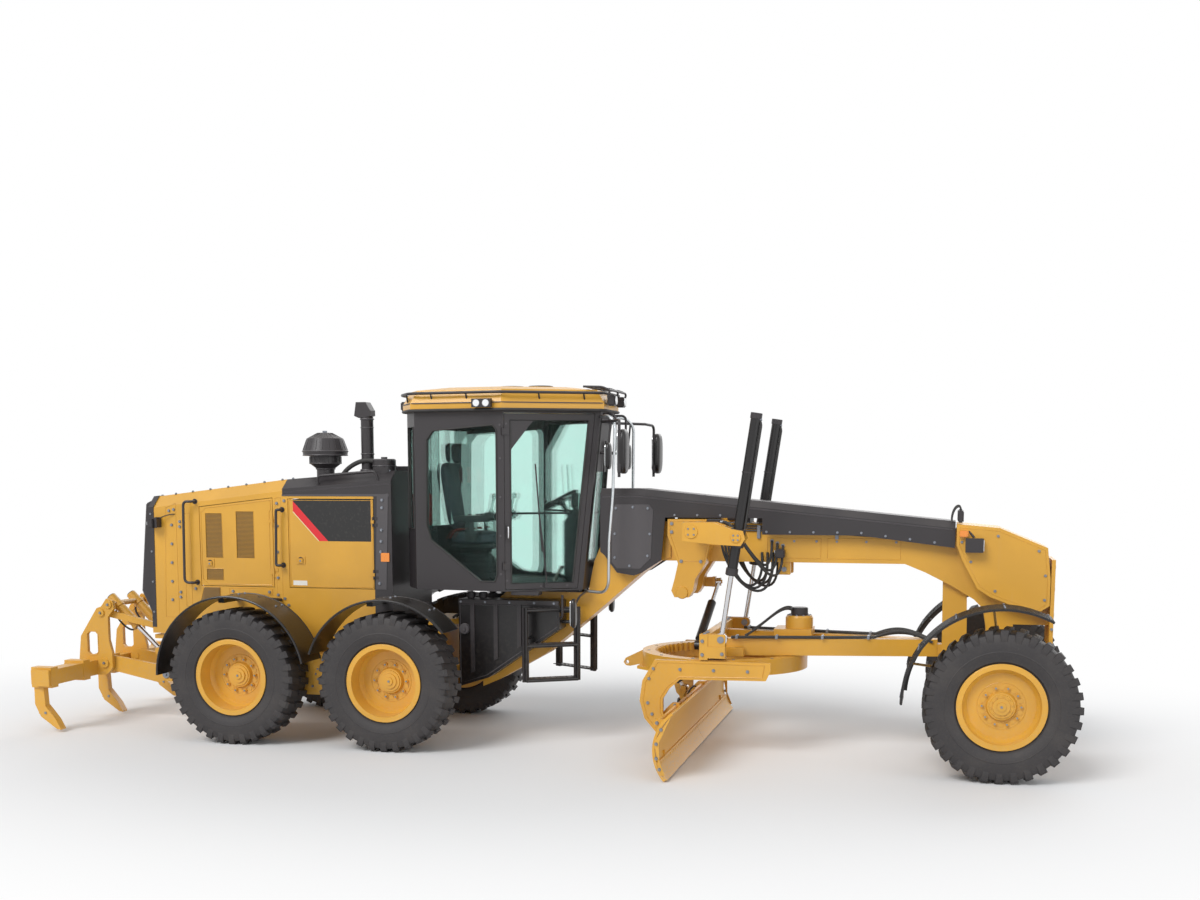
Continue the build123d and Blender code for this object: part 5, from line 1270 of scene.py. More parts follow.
class GRADER_OT_cab_inside(bpy.types.Operator):
    """Seat, armrests with levers, console, steering wheel and pedals"""
    bl_idname = "grader.cab_inside"
    bl_label = "Cab inside"

    def execute(self, context):
        cushion("seat_cushion", at(1.04, -0.24, 1.84), at(1.52, 0.24, 1.965), 0, "cloth", 5.0, 3)
        cushion("seat_back", at(1.035, -0.23, 1.95), at(1.165, 0.23, 2.62), -9, "cloth", 5.0, 3)
        cushion("seat_headrest", at(0.975, -0.125, 2.61), at(1.065, 0.125, 2.8), -4, "cloth", 4.0, 0)
        fit = Fittings("cab_inside", "front")
        base = Shape()
        base.box(at(1.08, -0.17, 1.491), at(1.46, 0.17, 1.56), 0.02)
        for row in range(5):
            grow = 0.006 if row % 2 else 0.0
            base.box(at(1.12 - grow, -0.15 - grow, 1.56 + row * 0.048),
                at(1.42 + grow, 0.15 + grow, 1.606 + row * 0.048), 0.012)
        base.box(at(1.06, -0.225, 1.8), at(1.5, 0.225, 1.85), 0.015)
        base.make("seat_base", material("plastic"), "front", replaces=("cab_interior",))
        for y in (-0.06, 0.06):
            fit["chrome"].tube((at(1.045, y, 2.56), at(1.03, y, 2.66)), 0.007, 10)
        for side in SIDES:
            fit["plastic"].pair(side, (1.12, 1.52), (0.27, 0.35), (2.06, 2.12), 0.018)
            fit["plastic"].pair(side, (1.42, 1.56), (0.26, 0.36), (2.075, 2.15), 0.02)
            fit["plastic"].pair(side, (1.24, 1.34), (0.236, 0.32), (1.87, 2.065), 0.01)
            stick = at(1.5, side * 0.31, 2.15)
            fit["hose"].disc(stick, UP, 0.03, 0.03, 24, 0.014)
            fit["plastic"].tube((stick, stick + Vector((0.01, 0, 0.07)), stick + Vector((0.03, 0, 0.14))),
                0.013, 12, 0.03)
            fit["plastic"].ball(stick + Vector((0.033, 0, 0.15)), 0.024, (1, 0.9, 1.3))
            fit["amber"].disc(stick + Vector((0.05, 0, 0.165)), (1, 0, 0.3), 0.006, 0.006, 12)
            for k in range(3):
                fit["label"].disc(at(1.3 + 0.04 * k, side * 0.31, 2.12), UP, 0.009, 0.006, 16)
            # belt over the cushion's side
            fit["belt"].tube(beside(side, (1.06, 0.246, 1.9), (1.12, 0.236, 1.985),
                (1.26, 0.1, 1.988)), 0.011, 8, 0.04)
        # front console with its screen
        fit["plastic"].slab(spots(-0.11, ((2.15, 1.491), (2.29, 1.491), (2.29, 2.1), (2.25, 2.2),
            (2.15, 2.06))), 0.22, ACROSS)
        fit["plastic"].box(at(2.225, -0.14, 2.19), at(2.255, 0.14, 2.33), 0.01)
        fit["lens"].slab([at(2.222, y, z) for y, z in oblong(-0.125, 0.125, 2.205, 2.315)], 0.002, (-1, 0, 0))
        for k in range(5):
            fit["label"].disc(at(2.2215, -0.1 + 0.05 * k, 2.196), (-1, 0, 0), 0.007, 0.004, 12)
        fit["plastic"].tube((at(2.19, 0, 2.09), at(2.098, 0, 2.246)), 0.026, 16)
        axis = Vector((-0.504, 0, 0.864)).normalized()
        side_way, up_way = Vector(ACROSS), axis.cross(Vector(ACROSS))
        hub = at(2.09, 0, 2.26)
        fit["plastic"].hoop(hub, axis, 0.178, 0.014, 64, 12)
        for a in (math.radians(90), math.radians(210), math.radians(330)):
            fit["plastic"].tube((hub, hub + 0.17 * (side_way * math.cos(a) + up_way * math.sin(a))), 0.01, 10)
        fit["plastic"].disc(hub - axis * 0.01, axis, 0.042, 0.026, 28, 0.034)
        fit["plastic"].ball(hub + 0.165 * (side_way * math.cos(2.6) + up_way * math.sin(2.6)) + axis * 0.045, 0.022)
        for y in (-0.19, 0.19):
            fit["edge"].box(at(2.11, y - 0.045, 1.5), at(2.13, y + 0.045, 1.66), 0.006,
                turn=Matrix.Rotation(math.radians(28), 4, "Y"))
            fit["plastic"].tube((at(2.11, y, 1.58), at(2.2, y, 1.52)), 0.008, 8)
        # fire bottle on the rear wall and a coat hook
        fit["red_lens"].disc(at(0.79, -0.23, 2.02), UP, 0.05, 0.3, 28, bevel=0.012)
        fit["black"].disc(at(0.79, -0.23, 2.32), UP, 0.016, 0.05, 16)
        fit["belt"].box(at(1.045, 0.3, 2.42), at(1.075, 0.34, 2.58), 0.008)
        # floor mat with ribs
        for k in range(9):
            fit["hose"].box(at(1.6, -0.36 + k * 0.085, 1.4905), at(2.12, -0.31 + k * 0.085, 1.496), 0.001)
        fit.make()
        return {"FINISHED"}


def arc_band(shape, centre, start, end, inner, outer, y_low, y_high, steps=36):
    """A curved sheet round an axle between two angles, measured from straight ahead."""
    rows = []
    for k in range(steps + 1):
        angle = math.radians(start + (end - start) * k / steps)
        turn = spoke(angle)
        rows.append([shape.mesh.verts.new(centre + turn * r + Vector((0, y, 0))) for r, y in oblong(inner, outer,
            y_low, y_high)])
    for first, second in zip(rows, rows[1:]):
        for k in range(4):
            shape.mesh.faces.new((first[k], first[(k + 1) % 4], second[(k + 1) % 4], second[k]))
    shape.mesh.faces.new(rows[0])
    shape.mesh.faces.new(list(reversed(rows[-1])))


class GRADER_OT_mudguards(bpy.types.Operator):
    """Black front mudguards, and the rolled edges, bolts and stays of the rear ones"""
    bl_idname = "grader.mudguards"
    bl_label = "Mudguards"

    def execute(self, context):
        rear = Fittings("rear_mudguard_trim", "rear")
        for side in SIDES:
            for axle, start, end in ((REAR_AXLE, 12, 180), (MID_AXLE, 39, 161)):
                centre = at(axle, 0, TYRE_RADIUS)
                for y, radius, thick in ((1.2505, 0.7545, 0.0095), (0.861, 0.7545, 0.0075)):
                    rear["gloss_black"].tube([centre + Vector((radius * math.cos(a), side * y, radius * math.sin(a)))
                        for a in (math.radians(start + (end - start) * k / 48) for k in range(49))], thick, 8)
                for angle in (60, 90, 120):
                    turn = spoke(math.radians(angle))
                    for y in (0.9, 1.02):
                        rear.bolt(centre + turn * 0.757 + Vector((0, side * y, 0)), turn, 0.02)
                for x, foot, bend, head in ((axle - 0.1, 1.33, 1.345, 1.372), (axle + 0.18, 1.3, 1.32, 1.357)):
                    rear["black"].tube(beside(side, (x, 0.521, foot), (x, 0.7, bend), (x, 0.98, head)),
                        0.016, 10, 0.05)
        rear.make()
        for word, side in NAMED_SIDES:
            fit = Fittings("front_mudguard_" + word, "knuckle_" + word)
            centre = at(WHEELBASE, 0, TYRE_RADIUS)
            arc_band(fit["gloss_black"], centre, 61.6, 180.4, 0.785, 0.8035,
                *sorted((side * 0.832, side * 1.2585)), 48)
            for y in (0.87, 0.96, 1.05, 1.14, 1.22):
                arc_band(fit["gloss_black"], centre, 62, 180, 0.8, 0.807, *sorted((side * y, side * (y + 0.014))), 48)
            for angle in (64, 90, 118, 146, 176):
                turn = spoke(math.radians(angle))
                for y in (0.85, 1.0, 1.1, 1.2):
                    fit.bolt(centre + turn * 0.803 + Vector((0, side * y, 0)), turn, 0.016)
            # inner lug bracket along the guard's inner edge
            arc_band(fit["black"], centre, 84, 176, 0.76, 0.786, *sorted((side * 0.833, side * 0.841)), 30)
            for angle in (92, 108, 124, 140, 156, 170):
                a = math.radians(angle)
                fit.bolt(centre + Vector((0.773 * math.cos(a), side * 0.833, 0.773 * math.sin(a))),
                    (0, -side, 0), 0.014)
            fit.make()
        return {"FINISHED"}


class GRADER_OT_frame_trim(bpy.types.Operator):
    """Bolted plates, lamps, seams and hoses of the front frame, cover, nose and saddle"""
    bl_idname = "grader.frame_trim"
    bl_label = "Frame trim"

    def execute(self, context):
        trim = context.scene.grader_trim
        fit = Fittings("frame_trim", "front")

        def crest(x):
            """Height of the cover's flat top."""
            return 2.372 if x < 2.905 else 2.372 - (x - 2.905) * 0.28 / 2.819
        for low, high in ((2.545, 2.905), (2.905, 4.02), (4.03, 5.715)):
            fit["post"].slab([at(low, -0.196, crest(low)), at(high, -0.196, crest(high)), at(high, 0.196, crest(high)),
                at(low, 0.196, crest(low))], 0.003, UP)
        for side, out in OUTWARD:
            face = side * 0.25
            fit["post"].slab(spots(face, ((2.65, 1.7), (2.7, 1.64), (2.92, 1.64), (3.02, 1.74), (3.04, 2.18),
                (3.0, 2.23), (2.69, 2.23), (2.65, 2.19))), 0.004, out)
            fit.studs(spots(face + side * 0.004, ((2.68, 1.74), (2.68, 1.96), (2.69, 2.195), (2.85, 2.205),
                (2.99, 2.195), (3.01, 1.96), (2.99, 1.76), (2.82, 1.665))), out, 0.02)
            fit["post"].bead(spots(face, ((2.56, 2.3), (2.905, 2.304), (5.7, 2.026), (5.7, 2.02), (2.905, 2.297),
                (2.56, 2.293))))
            for number in range(12):
                x = 3.24 + number * 0.21
                low = 2.135 if x < 4.06 else 1.99 if x < 4.9 else 1.99 - (x - 4.9) * 0.12
                fit.bolt(at(x, face, low), out, 0.018)
            # plates and seams on the yellow frame
            side_face = side * 0.15
            for corners in (((4.08, 1.75), (4.08, 1.93), (4.56, 1.93), (4.56, 1.75)),
                    ((4.62, 1.75), (4.62, 1.93), (5.26, 1.93), (5.26, 1.75))):
                fit["yellow"].bead(spots(side_face, corners), 0.0035)
            fit.studs([at(x, side_face, 1.905) for x in (4.12, 4.32, 4.52, 4.7, 4.96, 5.22)], out, 0.018)
            fit["yellow"].slab(spots(side_face, oblong(3.14, 3.19, 1.93, 1.74)), 0.016, out)
            # work lamp and hanging box
            fit["black"].pair(side, (4.16, 4.245), (0.165, 0.265), (1.755, 1.835), 0.01)
            fit["lens"].disc(at(4.16, side * 0.215, 1.795), (-1, side * 0.2, -0.2), 0.032, 0.008, 28)
            fit["black"].tube(beside(side, (4.21, 0.151, 1.8), (4.21, 0.18, 1.8)), 0.012, 10)
            fit["yellow"].pair(side, (4.18, 4.29), (0.09, 0.15), (1.6, 1.712), 0.006)
            fit["zinc"].disc(at(4.235, side * 0.15, 1.65), out, 0.022, 0.02, 20)
            # saddle: pin heads, caps and bolts
            for x, z, radius in ((3.5, 2.01, 0.06), (3.89, 1.962, 0.046)):
                fit["yellow"].disc(at(x, side * 0.845, z), out, radius, 0.012, 36, radius - 0.004)
                fit["zinc"].bolts(at(x, side * 0.857, z), out, radius * 0.6, 4, 0.014)
            fit.studs(spots(side * 0.335, ((3.23, 2.06), (3.34, 2.06), (3.45, 2.06), (3.56, 2.06), (3.23, 1.985),
                (3.56, 1.985), (3.32, 1.72), (3.5, 1.72))), out, 0.026)
            fit["yellow"].bead(spots(side * 0.335, ((3.215, 1.965), (3.215, 2.085), (3.585, 2.085), (3.585, 1.965),
                (3.525, 1.72), (3.305, 1.72))), 0.004)
            fit["yellow"].disc(at(3.33, side * 0.334, 1.434), out, 0.058, 0.014, 32, 0.052)
            # lock-valve block and pipes on the saddle
            fit["black"].pair(side, (3.6, 3.72), (0.56, 0.65), (2.062, 2.112), 0.006)
            for k in range(3):
                y = side * (0.575 + 0.028 * k)
                fit["zinc"].disc(at(3.72, y, 2.088), (1, 0, 0), 0.012, 0.022, 12)
                fit["hose"].hose(at(3.742, y, 2.088), (0.12, 0, 0.02), at(4.12 + 0.05 * k, side * 0.155,
                    1.905 - 0.02 * k), (0.04, side * 0.3, -0.56 - 0.07 * k), trim.hose)
                fit["zinc"].disc(at(4.12 + 0.05 * k, side * 0.15, 1.905 - 0.02 * k), out, 0.016, 0.012, 16)
            for k in range(3):
                fit["hose"].hose(at(4.03 + 0.05 * k, side * 0.155, 1.8), (0.06, side * (0.1 + 0.03 * k),
                    -0.42 - 0.1 * k), at(3.74 - 0.03 * k, side * 0.3, 1.905),
                    (0.06, side * 0.06, -0.5 + 0.06 * k), trim.hose)
            # pipes under the cover, along the frame
            for k in range(3):
                fit["black"].tube(spots(side * 0.158, ((3.64, 2.04 - 0.022 * k), (4.4, 2.04 - 0.022 * k),
                    (5.65, 1.955 - 0.022 * k))), 0.0075, 8, 0.05)
            for x in (4.0, 4.7, 5.3):
                fit["zinc"].pair(side, (x - 0.015, x + 0.015), (0.15, 0.172), (1.925, 2.045), 0.003)
            # head lamps
            fit["lens"].slab([at(5.96, y, z) for y, z in ((side * 0.312, 1.848), (side * 0.388, 1.848),
                (side * 0.388, 1.942), (side * 0.312, 1.942))], 0.006, (1, 0, 0))
            fit["black"].tube(beside(side, (5.88, 0.3, 1.96), (5.8, 0.28, 2.06)), 0.012, 10)
            fit["amber"].pair(side, (5.76, 5.83), (0.3, 0.352), (1.965, 2.02), 0.006)
            # nose cover: seam and bolts
            nose = side * 0.3
            fit["yellow"].bead(spots(nose, ((5.76, 2.045), (6.085, 2.018), (6.472, 1.858), (6.5, 1.605), (6.5, 1.4),
                (6.41, 1.335), (6.045, 1.475), (5.945, 1.54), (5.815, 1.78), (5.76, 1.89))))
            fit.studs(spots(nose, ((5.78, 2.0), (5.78, 1.92), (6.08, 1.975), (6.42, 1.85), (6.48, 1.64), (6.48, 1.43),
                (6.07, 1.5), (5.86, 1.75))), out, 0.02)
            fit["black"].pair(side, (5.74, 5.79), (0.18, 0.27), (2.085, 2.19), 0.01)
            fit["hose"].hose(at(5.765, side * 0.225, 2.19), (0.0, 0, 0.07), at(5.69, side * 0.225, 2.1),
                (0, 0, 0.12), 0.008, 10)
        # front plate: holes' bolts and tow pin
        for y in (-0.24, -0.12, 0.12, 0.24):
            for z in (1.08, 1.3, 1.52, 1.71):
                fit["zinc"].disc(at(6.562, y, z), (1, 0, 0), 0.018, 0.004)
        fit["zinc"].tube((at(6.548, -0.31, 1.18), at(6.548, 0.31, 1.18)), 0.012)
        fit.make()
        for side in SIDES:
            lift = Fittings("lift_trim_%d" % side, "lift_barrels")
            top = at(3.89, side * 0.75, 1.962)
            along = (at(3.76, side * 0.75, 1.065) - top).normalized()
            upper = top - along * 1.072
            for place, radius, length in ((-0.004, 0.051, 0.05), (0.5, 0.049, 0.014), (1.0, 0.066, 0.16),
                    (1.345, 0.054, 0.06)):
                lift["black"].disc(upper + along * place, along, radius, length, 36, bevel=0.003)
            for k, turn in ((0, 0.3), (1, -0.3)):
                arm = Vector((math.cos(turn), math.sin(turn), 0)) * 0.058
                lift["hose"].tube((upper + along * 0.06 + arm * 0.7, upper + along * 0.1 + arm,
                    upper + along * 1.0 + arm), 0.008, 10, 0.02)
                lift.bolt(upper + along * 0.055 + arm * 0.72, arm, 0.022)
            lift.make()
            rod = Fittings("lift_eye_trim_%d" % side, "drawbar")
            for far in (0.7, 0.792):
                rod["zinc"].disc(at(3.76, side * far, 1.065), (0, side, 0), 0.03, 0.008)
            rod.make()
        return {"FINISHED"}


def blade_curve(z, offset=0.0):
    """Station of the blade's front face at a height."""
    top, middle, foot = Vector((3.535, 0.56)), Vector((3.392, 0.3)), Vector((3.48, 0.018))
    a, b = middle - top, foot - top
    area = 2 * (a.x * b.y - a.y * b.x)
    centre = top + Vector((b.y * a.length_squared - a.y * b.length_squared,
        a.x * b.length_squared - b.x * a.length_squared)) / area
    radius = (top - centre).length - offset
    return centre.x - math.sqrt(max(radius ** 2 - (z - centre.y) ** 2, 0.0))


class GRADER_OT_blade_gear(bpy.types.Operator):
    """Cutting edges, circle teeth, drive, side-shift cylinder and hoses of the blade gear"""
    bl_idname = "grader.blade_gear"
    bl_label = "Blade gear"

    def execute(self, context):
        trim = context.scene.grader_trim
        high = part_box("moldboard")[1]
        front = 0.0 if high.x - (TANDEM + 3.535) < 0.01 else 0.022
        blade = Fittings("blade_trim", "moldboard")
        for start, end in ((-1.828, -0.003), (0.003, 1.828)):
            heights = (0.019, 0.06, 0.11, 0.165)
            inner = [at(blade_curve(z, front), start, z) for z in heights]
            outer = [at(blade_curve(z, front) + 0.016, start, z) for z in reversed(heights)]
            blade["blade"].slab(inner + outer, end - start, ACROSS)
        for number in range(48):
            y = -1.79 + number * 0.0762
            blade["blade"].disc(at(blade_curve(0.14, front) + 0.014, y, 0.14), (1, 0, 0.1), 0.016, 0.006, 16, 0.011)
        for side in SIDES:
            # end plates and top roll
            blade["yellow"].slab([at(blade_curve(z, front) + dx, side * 1.83, z) for z, dx in ((0.06, 0.03),
                (0.18, 0.03), (0.33, 0.03), (0.52, 0.022), (0.555, -0.004), (0.33, -0.01), (0.06, -0.006))],
                0.012, (0, side, 0))
            blade.studs([at(blade_curve(z, front) + 0.01, side * 1.842, z) for z in (0.11, 0.2, 0.32, 0.44)],
                (0, side, 0), 0.024)
            blade.studs([at(3.345, side * 1.52, z) for z in (0.175, 0.436)], (0, side, 0), 0.026)
        blade["yellow"].tube((at(3.53, -1.828, 0.566), at(3.53, 1.828, 0.566)), 0.009, 10)
        blade["chrome"].tube((at(SHIFT_X, 0.06, SHIFT_Z), at(SHIFT_X, 1.48, SHIFT_Z)), 0.015, 20)
        blade["yellow"].box(at(3.31, 1.468, 0.335), at(3.395, 1.494, 0.412), 0.005)
        blade.make()
        bracket = Fittings("side_shift_barrel", "blade_bracket")
        bracket["black"].tube((at(SHIFT_X, -0.62, SHIFT_Z), at(SHIFT_X, 0.6, SHIFT_Z)), 0.028, 24)
        bracket["black"].disc(at(SHIFT_X, 0.59, SHIFT_Z), ACROSS, 0.033, 0.04, 28)
        bracket["black"].disc(at(SHIFT_X, -0.64, SHIFT_Z), ACROSS, 0.032, 0.03, 28)
        for y in (-0.45, 0.4):
            bracket["yellow"].box(at(3.29, y - 0.02, 0.345), at(3.33, y + 0.02, 0.4), 0.004)
        for side, out in OUTWARD:
            bracket.studs(spots(side * 0.7, ((3.25, 0.2), (3.33, 0.16), (3.33, 0.35), (3.34, 0.455),
                (3.225, 0.31))), out, 0.022)
            bracket["hose"].hose(at(3.33, side * 0.5, 0.402), (0, 0, 0.1), at(3.29, side * 0.12, 0.35),
                (0, side * 0.1, 0.12), 0.009, 10)
        bracket.make()
        ring = Fittings("circle_trim", "circle")
        for number in range(64):
            a = 2 * math.pi * number / 64
            turn, way = Vector((math.cos(a), math.sin(a), 0)), Vector((-math.sin(a), math.cos(a), 0))
            root, tip = at(CIRCLE_X, 0, 0.802) + turn * 0.652, at(CIRCLE_X, 0, 0.802) + turn * 0.624
            ring["yellow"].slab([root - way * 0.021, tip - way * 0.009, tip + way * 0.009,
                root + way * 0.021], 0.074, UP)
        for side, out in OUTWARD:
            ring["yellow"].disc(at(3.24, side * 0.785, 0.262), out, 0.052, 0.014, 36, 0.046)
            ring.bolt(at(3.24, side * 0.799, 0.262), out, 0.034)
            ring.studs(spots(side * 0.785, ((3.12, 0.7), (3.11, 0.48), (3.15, 0.38), (3.16, 0.79), (3.4, 0.79),
                (3.7, 0.79), (4.0, 0.79))), out, 0.024)
            ring["yellow"].bead(spots(side * 0.785, ((4.15, 0.85), (3.2, 0.85), (3.09, 0.67), (3.065, 0.5),
                (3.105, 0.35), (3.2, 0.235), (3.27, 0.235), (3.268, 0.29), (3.222, 0.4), (3.222, 0.53), (3.285, 0.63),
                (3.39, 0.722), (4.13, 0.738))), 0.005)
        for number in range(12):
            a = 2 * math.pi * (number + 0.5) / 12
            ring["zinc"].disc(at(CIRCLE_X + 0.708 * math.cos(a), 0.708 * math.sin(a), 0.876), UP, 0.014, 0.005, 16)
        ring.make()
        bar = Fittings("drawbar_trim", "drawbar")
        bar["black"].disc(at(4.364, 0, 1.203), UP, 0.078, 0.09, 36, bevel=0.006)
        bar["yellow"].disc(at(4.364, 0, 1.203), UP, 0.12, 0.018, 40, 0.114)
        bar["zinc"].bolts(at(4.364, 0, 1.22), UP, 0.1, 10, 0.018)
        for side, out in OUTWARD:
            bar.studs(spots(side * 0.8, ((3.6, 0.93), (3.6, 1.05), (3.775, 0.94))), out, 0.026)
            bar.studs([at(3.61, side * y, 1.1) for y in (0.56, 0.64, 0.74)], UP, 0.028)
            # circle shoes bolted under the yoke's ends
            bar["yellow"].pair(side, (3.65, 3.79), (0.6, 0.7), (0.884, 0.905), 0.004)
            bar["hose"].hose(at(4.3, side * 0.06, 1.275), (-0.1, side * 0.05, 0.06), at(3.9, side * 0.24, 1.046),
                (0.14, 0, 0.07), trim.hose)
            # hoses that lie along the drawbar's tubes and rise in a low arch before the eye
            for k in range(2):
                y0 = 0.05 + 0.03 * k
                bar["hose"].hose(at(5.56, side * y0, 1.01), (-0.2, 0, 0.1), at(5.05, side * (y0 + 0.08), 1.052),
                    (0.2, 0, 0.06 + 0.03 * k), trim.hose)
                bar["hose"].tube(beside(side, (5.05, y0 + 0.08, 1.052), (4.65, y0 + 0.17, 1.05),
                    (3.8, y0 + 0.36, 1.05)), trim.hose, 12, 0.05)
            for x, y in ((5.0, 0.16), (4.6, 0.25), (4.2, 0.335), (3.85, 0.405)):
                bar["zinc"].box(at(x - 0.012, side * y - 0.05, 1.036), at(x + 0.012, side * y + 0.05, 1.07), 0.004)
        bar["zinc"].bolts(at(5.711, -0.055, 0.939), (0, -1, 0), 0.045, 6, 0.014)
        bar.make()
        return {"FINISHED"}


class GRADER_OT_axle_trim(bpy.types.Operator):
    """Pin heads, bolts and hoses of the front axle, knuckles, lean bar and tie rod"""
    bl_idname = "grader.axle_trim"
    bl_label = "Axle trim"

    def execute(self, context):
        fit = Fittings("axle_trim", "front")
        for side in SIDES:
            for x, way in ((WHEELBASE + 0.13, 1), (WHEELBASE - 0.13, -1)):
                fit["zinc"].disc(at(x, side * KINGPOST_Y, TYRE_RADIUS), (way, 0, 0), 0.044, 0.01, 32, 0.04)
                fit["zinc"].bolts(at(x + way * 0.01, side * KINGPOST_Y, TYRE_RADIUS), (way, 0, 0), 0.026, 3, 0.012)
                for y in (0.5, 0.56, 0.62):
                    fit.bolt(at(x, side * y, 0.6), (way, 0, 0), 0.022)
                    fit.bolt(at(x, side * y, 0.665), (way, 0, 0), 0.022)
            fit["yellow"].bead([at(WHEELBASE + 0.095, side * y, z) for y, z in ((0.16, 0.745), (0.19, 0.88),
                (0.4, 0.755), (0.4, 0.65))], 0.005)
            fit["hose"].hose(at(WHEELBASE - 0.06, side * 0.101, 0.95), (0, side * 0.15, 0.05),
                at(WHEELBASE - 0.06, side * 0.42, 0.772), (0, -side * 0.08, 0.1), 0.009, 10)
        fit.make()
        for word, side in NAMED_SIDES:
            knuckle = Fittings("knuckle_trim_" + word, "knuckle_" + word)
            for z, way in ((0.797, 1), (0.467, -1)):
                knuckle["zinc"].disc(at(WHEELBASE, side * KINGPOST_Y, z), (0, 0, way), 0.046, 0.009, 32, 0.042)
            knuckle.make()
        for side in SIDES:
            lean = Fittings("lean_bar_trim_%d" % side, "lean_bar")
            lean["zinc"].disc(at(WHEELBASE + 0.086, side * KINGPOST_Y, 0.962), (1, 0, 0), 0.022, 0.005)
            lean.make()
        rod = Fittings("tie_rod_trim", "tie_rod")
        for side in SIDES:
            rod["zinc"].disc(at(WHEELBASE - 0.22, side * 0.64, 0.85), (0, side, 0), 0.03, 0.05, 6)
            rod["hose"].disc(at(WHEELBASE - 0.22, side * 0.6, 0.85), (0, side, 0), 0.027, 0.04)
        rod.make()
        return {"FINISHED"}


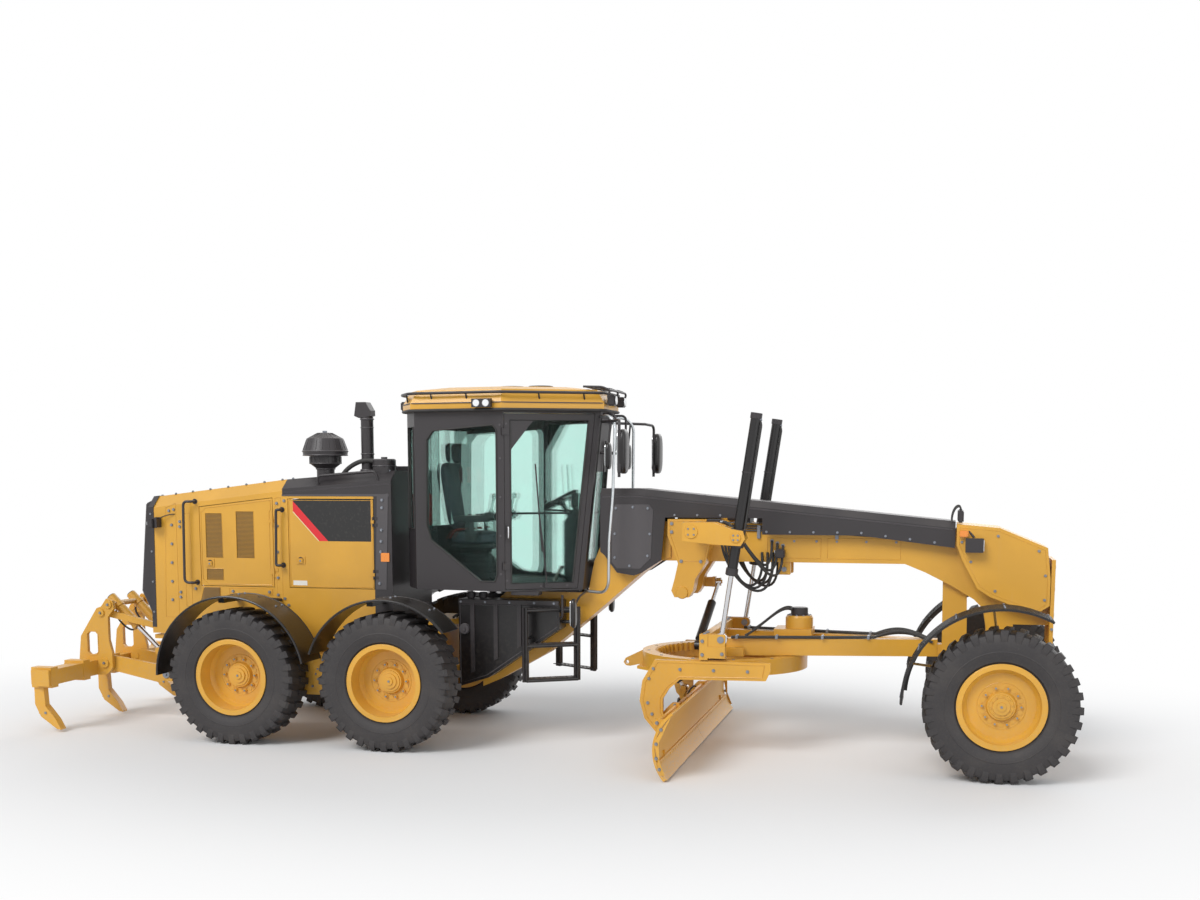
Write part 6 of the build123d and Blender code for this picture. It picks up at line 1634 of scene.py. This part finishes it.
class GRADER_OT_lower_trim(bpy.types.Operator):
    """Ladder treads, tank ribs and caps, and the tandem cases' covers"""
    bl_idname = "grader.lower_trim"
    bl_label = "Steps, tanks and tandems"

    def execute(self, context):
        fit = Fittings("step_trim", "front")
        for side in SIDES:
            stile, other = at(1.925, side * 0.6, 0), at(2.35, side * 0.34, 0)
            inward = Vector((-0.5218, -side * 0.853, 0))
            for z in (0.605, 0.927, 1.258):
                lift = rise(z + 0.012)
                corners = [stile + lift, other + lift, other + lift + inward * 0.11, stile + lift + inward * 0.11]
                fit["black"].slab(corners, 0.006, UP)
                for row in range(2):
                    for k in range(9):
                        place = stile.lerp(other, 0.08 + 0.105 * k) + lift + inward * (0.035 + 0.045 * row)
                        fit["post"].disc(place + rise(0.006), UP, 0.012, 0.004, 12, 0.008)
            along = (other - stile).normalized()
            for base in (stile, other):
                low = base + rise(0.59) - along * 0.03 + inward * 0.02
                high = rise(0.69)
                fit["black"].slab([low, low + along * 0.06, low + along * 0.06 + high, low + high], 0.026, inward)
                for z in (0.06, 0.36, 0.64):
                    fit.bolt(base + inward * 0.02 + rise(0.59 + z), -inward, 0.016)
            # short grab rail beside the steps
            fit["black"].tube(beside(side, (2.2, 0.43, 1.18), (2.235, 0.47, 1.2), (2.235, 0.47, 1.4)), 0.012, 10, 0.03)
            face = side * 0.44
            out = Vector((0, side, 0))
            for x in (1.33, 1.56, 1.79):
                fit["black"].slab(spots(face, ((x, 0.64 + (x - 1.33) * 0.55), (x + 0.04, 0.66 + (x - 1.33) * 0.55),
                    (x + 0.04, 1.33), (x, 1.33))), 0.014, out)
            fit["black"].slab(spots(face, oblong(1.214, 2.195, 1.3, 1.338)), 0.018, out)
            fit.studs([at(x, face + side * 0.018, 1.318) for x in (1.24, 1.48, 1.72, 1.96, 2.15)], out, 0.018)
            fit["post"].disc(at(1.27, face, 1.06), out, 0.052, 0.03, 32, 0.046)
            fit["post"].disc(at(1.27, face + side * 0.03, 1.06), out, 0.02, 0.012, 6)
            fit["post"].bead(spots(face, ((1.226, 0.54), (1.226, 1.29), (2.18, 1.29), (2.18, 1.1),
                (1.49, 0.626))), 0.005)
            # accumulator bottles between tank and cab floor
            for x in (1.3, 1.42):
                fit["black"].disc(at(x, side * 0.33, 1.342), UP, 0.045, 0.06, 24, bevel=0.01)
        for k in range(4):
            fit["hose"].hose(at(1.36, -0.1 + 0.06 * k, 1.17), (-0.1, 0, 0.03), at(1.05, -0.16 + 0.1 * k, 1.13),
                (0.1, 0, 0.08), 0.012, 10)
        fit.make()
        case = Fittings("tandem_trim", "rear")
        for side, out in OUTWARD:
            face = side * TANDEM_FACE
            for x in (-0.33, -0.11, 0.11, 0.33):
                case["yellow_low"].disc(at(x, face, 0.76), out, 0.03, 0.008, 28, 0.026)
                case.bolt(at(x, face, 0.52), out, 0.024)
            case["yellow_low"].slab(spots(face, oblong(-0.42, 0.42, 0.5, 0.8)), 0.006, out)
            for x in (-0.39, -0.195, 0.0, 0.195, 0.39):
                case.studs([at(x, face + side * 0.006, z) for z in (0.525, 0.775)], out, 0.022)
            case["yellow_low"].disc(at(0, face + side * 0.006, 0.64), out, 0.085, 0.012, 40, 0.078)
            case["zinc"].bolts(at(0, face + side * 0.018, 0.64), out, 0.068, 8, 0.016)
            case.studs([at(x, side * 0.745, 0.82) for x in (-0.6, -0.3, 0.3, 0.6)], UP, 0.022)
            case["zinc"].disc(at(0, side * 0.64, 0.64), (0, -side, 0), 0.2, 0.01, 40, 0.19)
        case.make()
        return {"FINISHED"}


OPERATORS = (GRADER_OT_camera, GRADER_OT_studio, GRADER_OT_finishes, GRADER_OT_tyres, GRADER_OT_wheel_trim,
    GRADER_OT_hood_trim, GRADER_OT_service_doors, GRADER_OT_cowl_trim, GRADER_OT_rear_end, GRADER_OT_cab_trim,
    GRADER_OT_cab_inside, GRADER_OT_mudguards, GRADER_OT_frame_trim, GRADER_OT_blade_gear, GRADER_OT_axle_trim,
    GRADER_OT_lower_trim)


class GRADER_PT_pieces(bpy.types.Panel):
    """Everything that dresses the machine"""
    bl_idname = "GRADER_PT_pieces"
    bl_label = "Motor grader"
    bl_space_type = "VIEW_3D"
    bl_region_type = "UI"
    bl_category = "Grader"

    def draw(self, context):
        for group in ("grader_paint", "grader_tread", "grader_trim", "grader_studio"):
            box = self.layout.box()
            settings = getattr(context.scene, group)
            for name in settings.__annotations__:
                box.prop(settings, name)
        for operator in OPERATORS:
            self.layout.operator(operator.bl_idname)


SETTINGS = (
    # scene property, group
    ("grader_paint", PaintSettings), ("grader_tread", TreadSettings), ("grader_trim", TrimSettings),
    ("grader_studio", StudioSettings),
)


def register():
    for name, group in SETTINGS:
        bpy.utils.register_class(group)
        setattr(bpy.types.Scene, name, bpy.props.PointerProperty(type=group))
    for operator in OPERATORS:
        bpy.utils.register_class(operator)
    bpy.utils.register_class(GRADER_PT_pieces)


def unregister():
    bpy.utils.unregister_class(GRADER_PT_pieces)
    for operator in reversed(OPERATORS):
        bpy.utils.unregister_class(operator)
    for name, group in reversed(SETTINGS):
        delattr(bpy.types.Scene, name)
        bpy.utils.unregister_class(group)


def main():
    register()
    for operator in OPERATORS:
        group, name = operator.bl_idname.split(".")
        getattr(getattr(bpy.ops, group), name)()


if __name__ == "__main__":
    main()
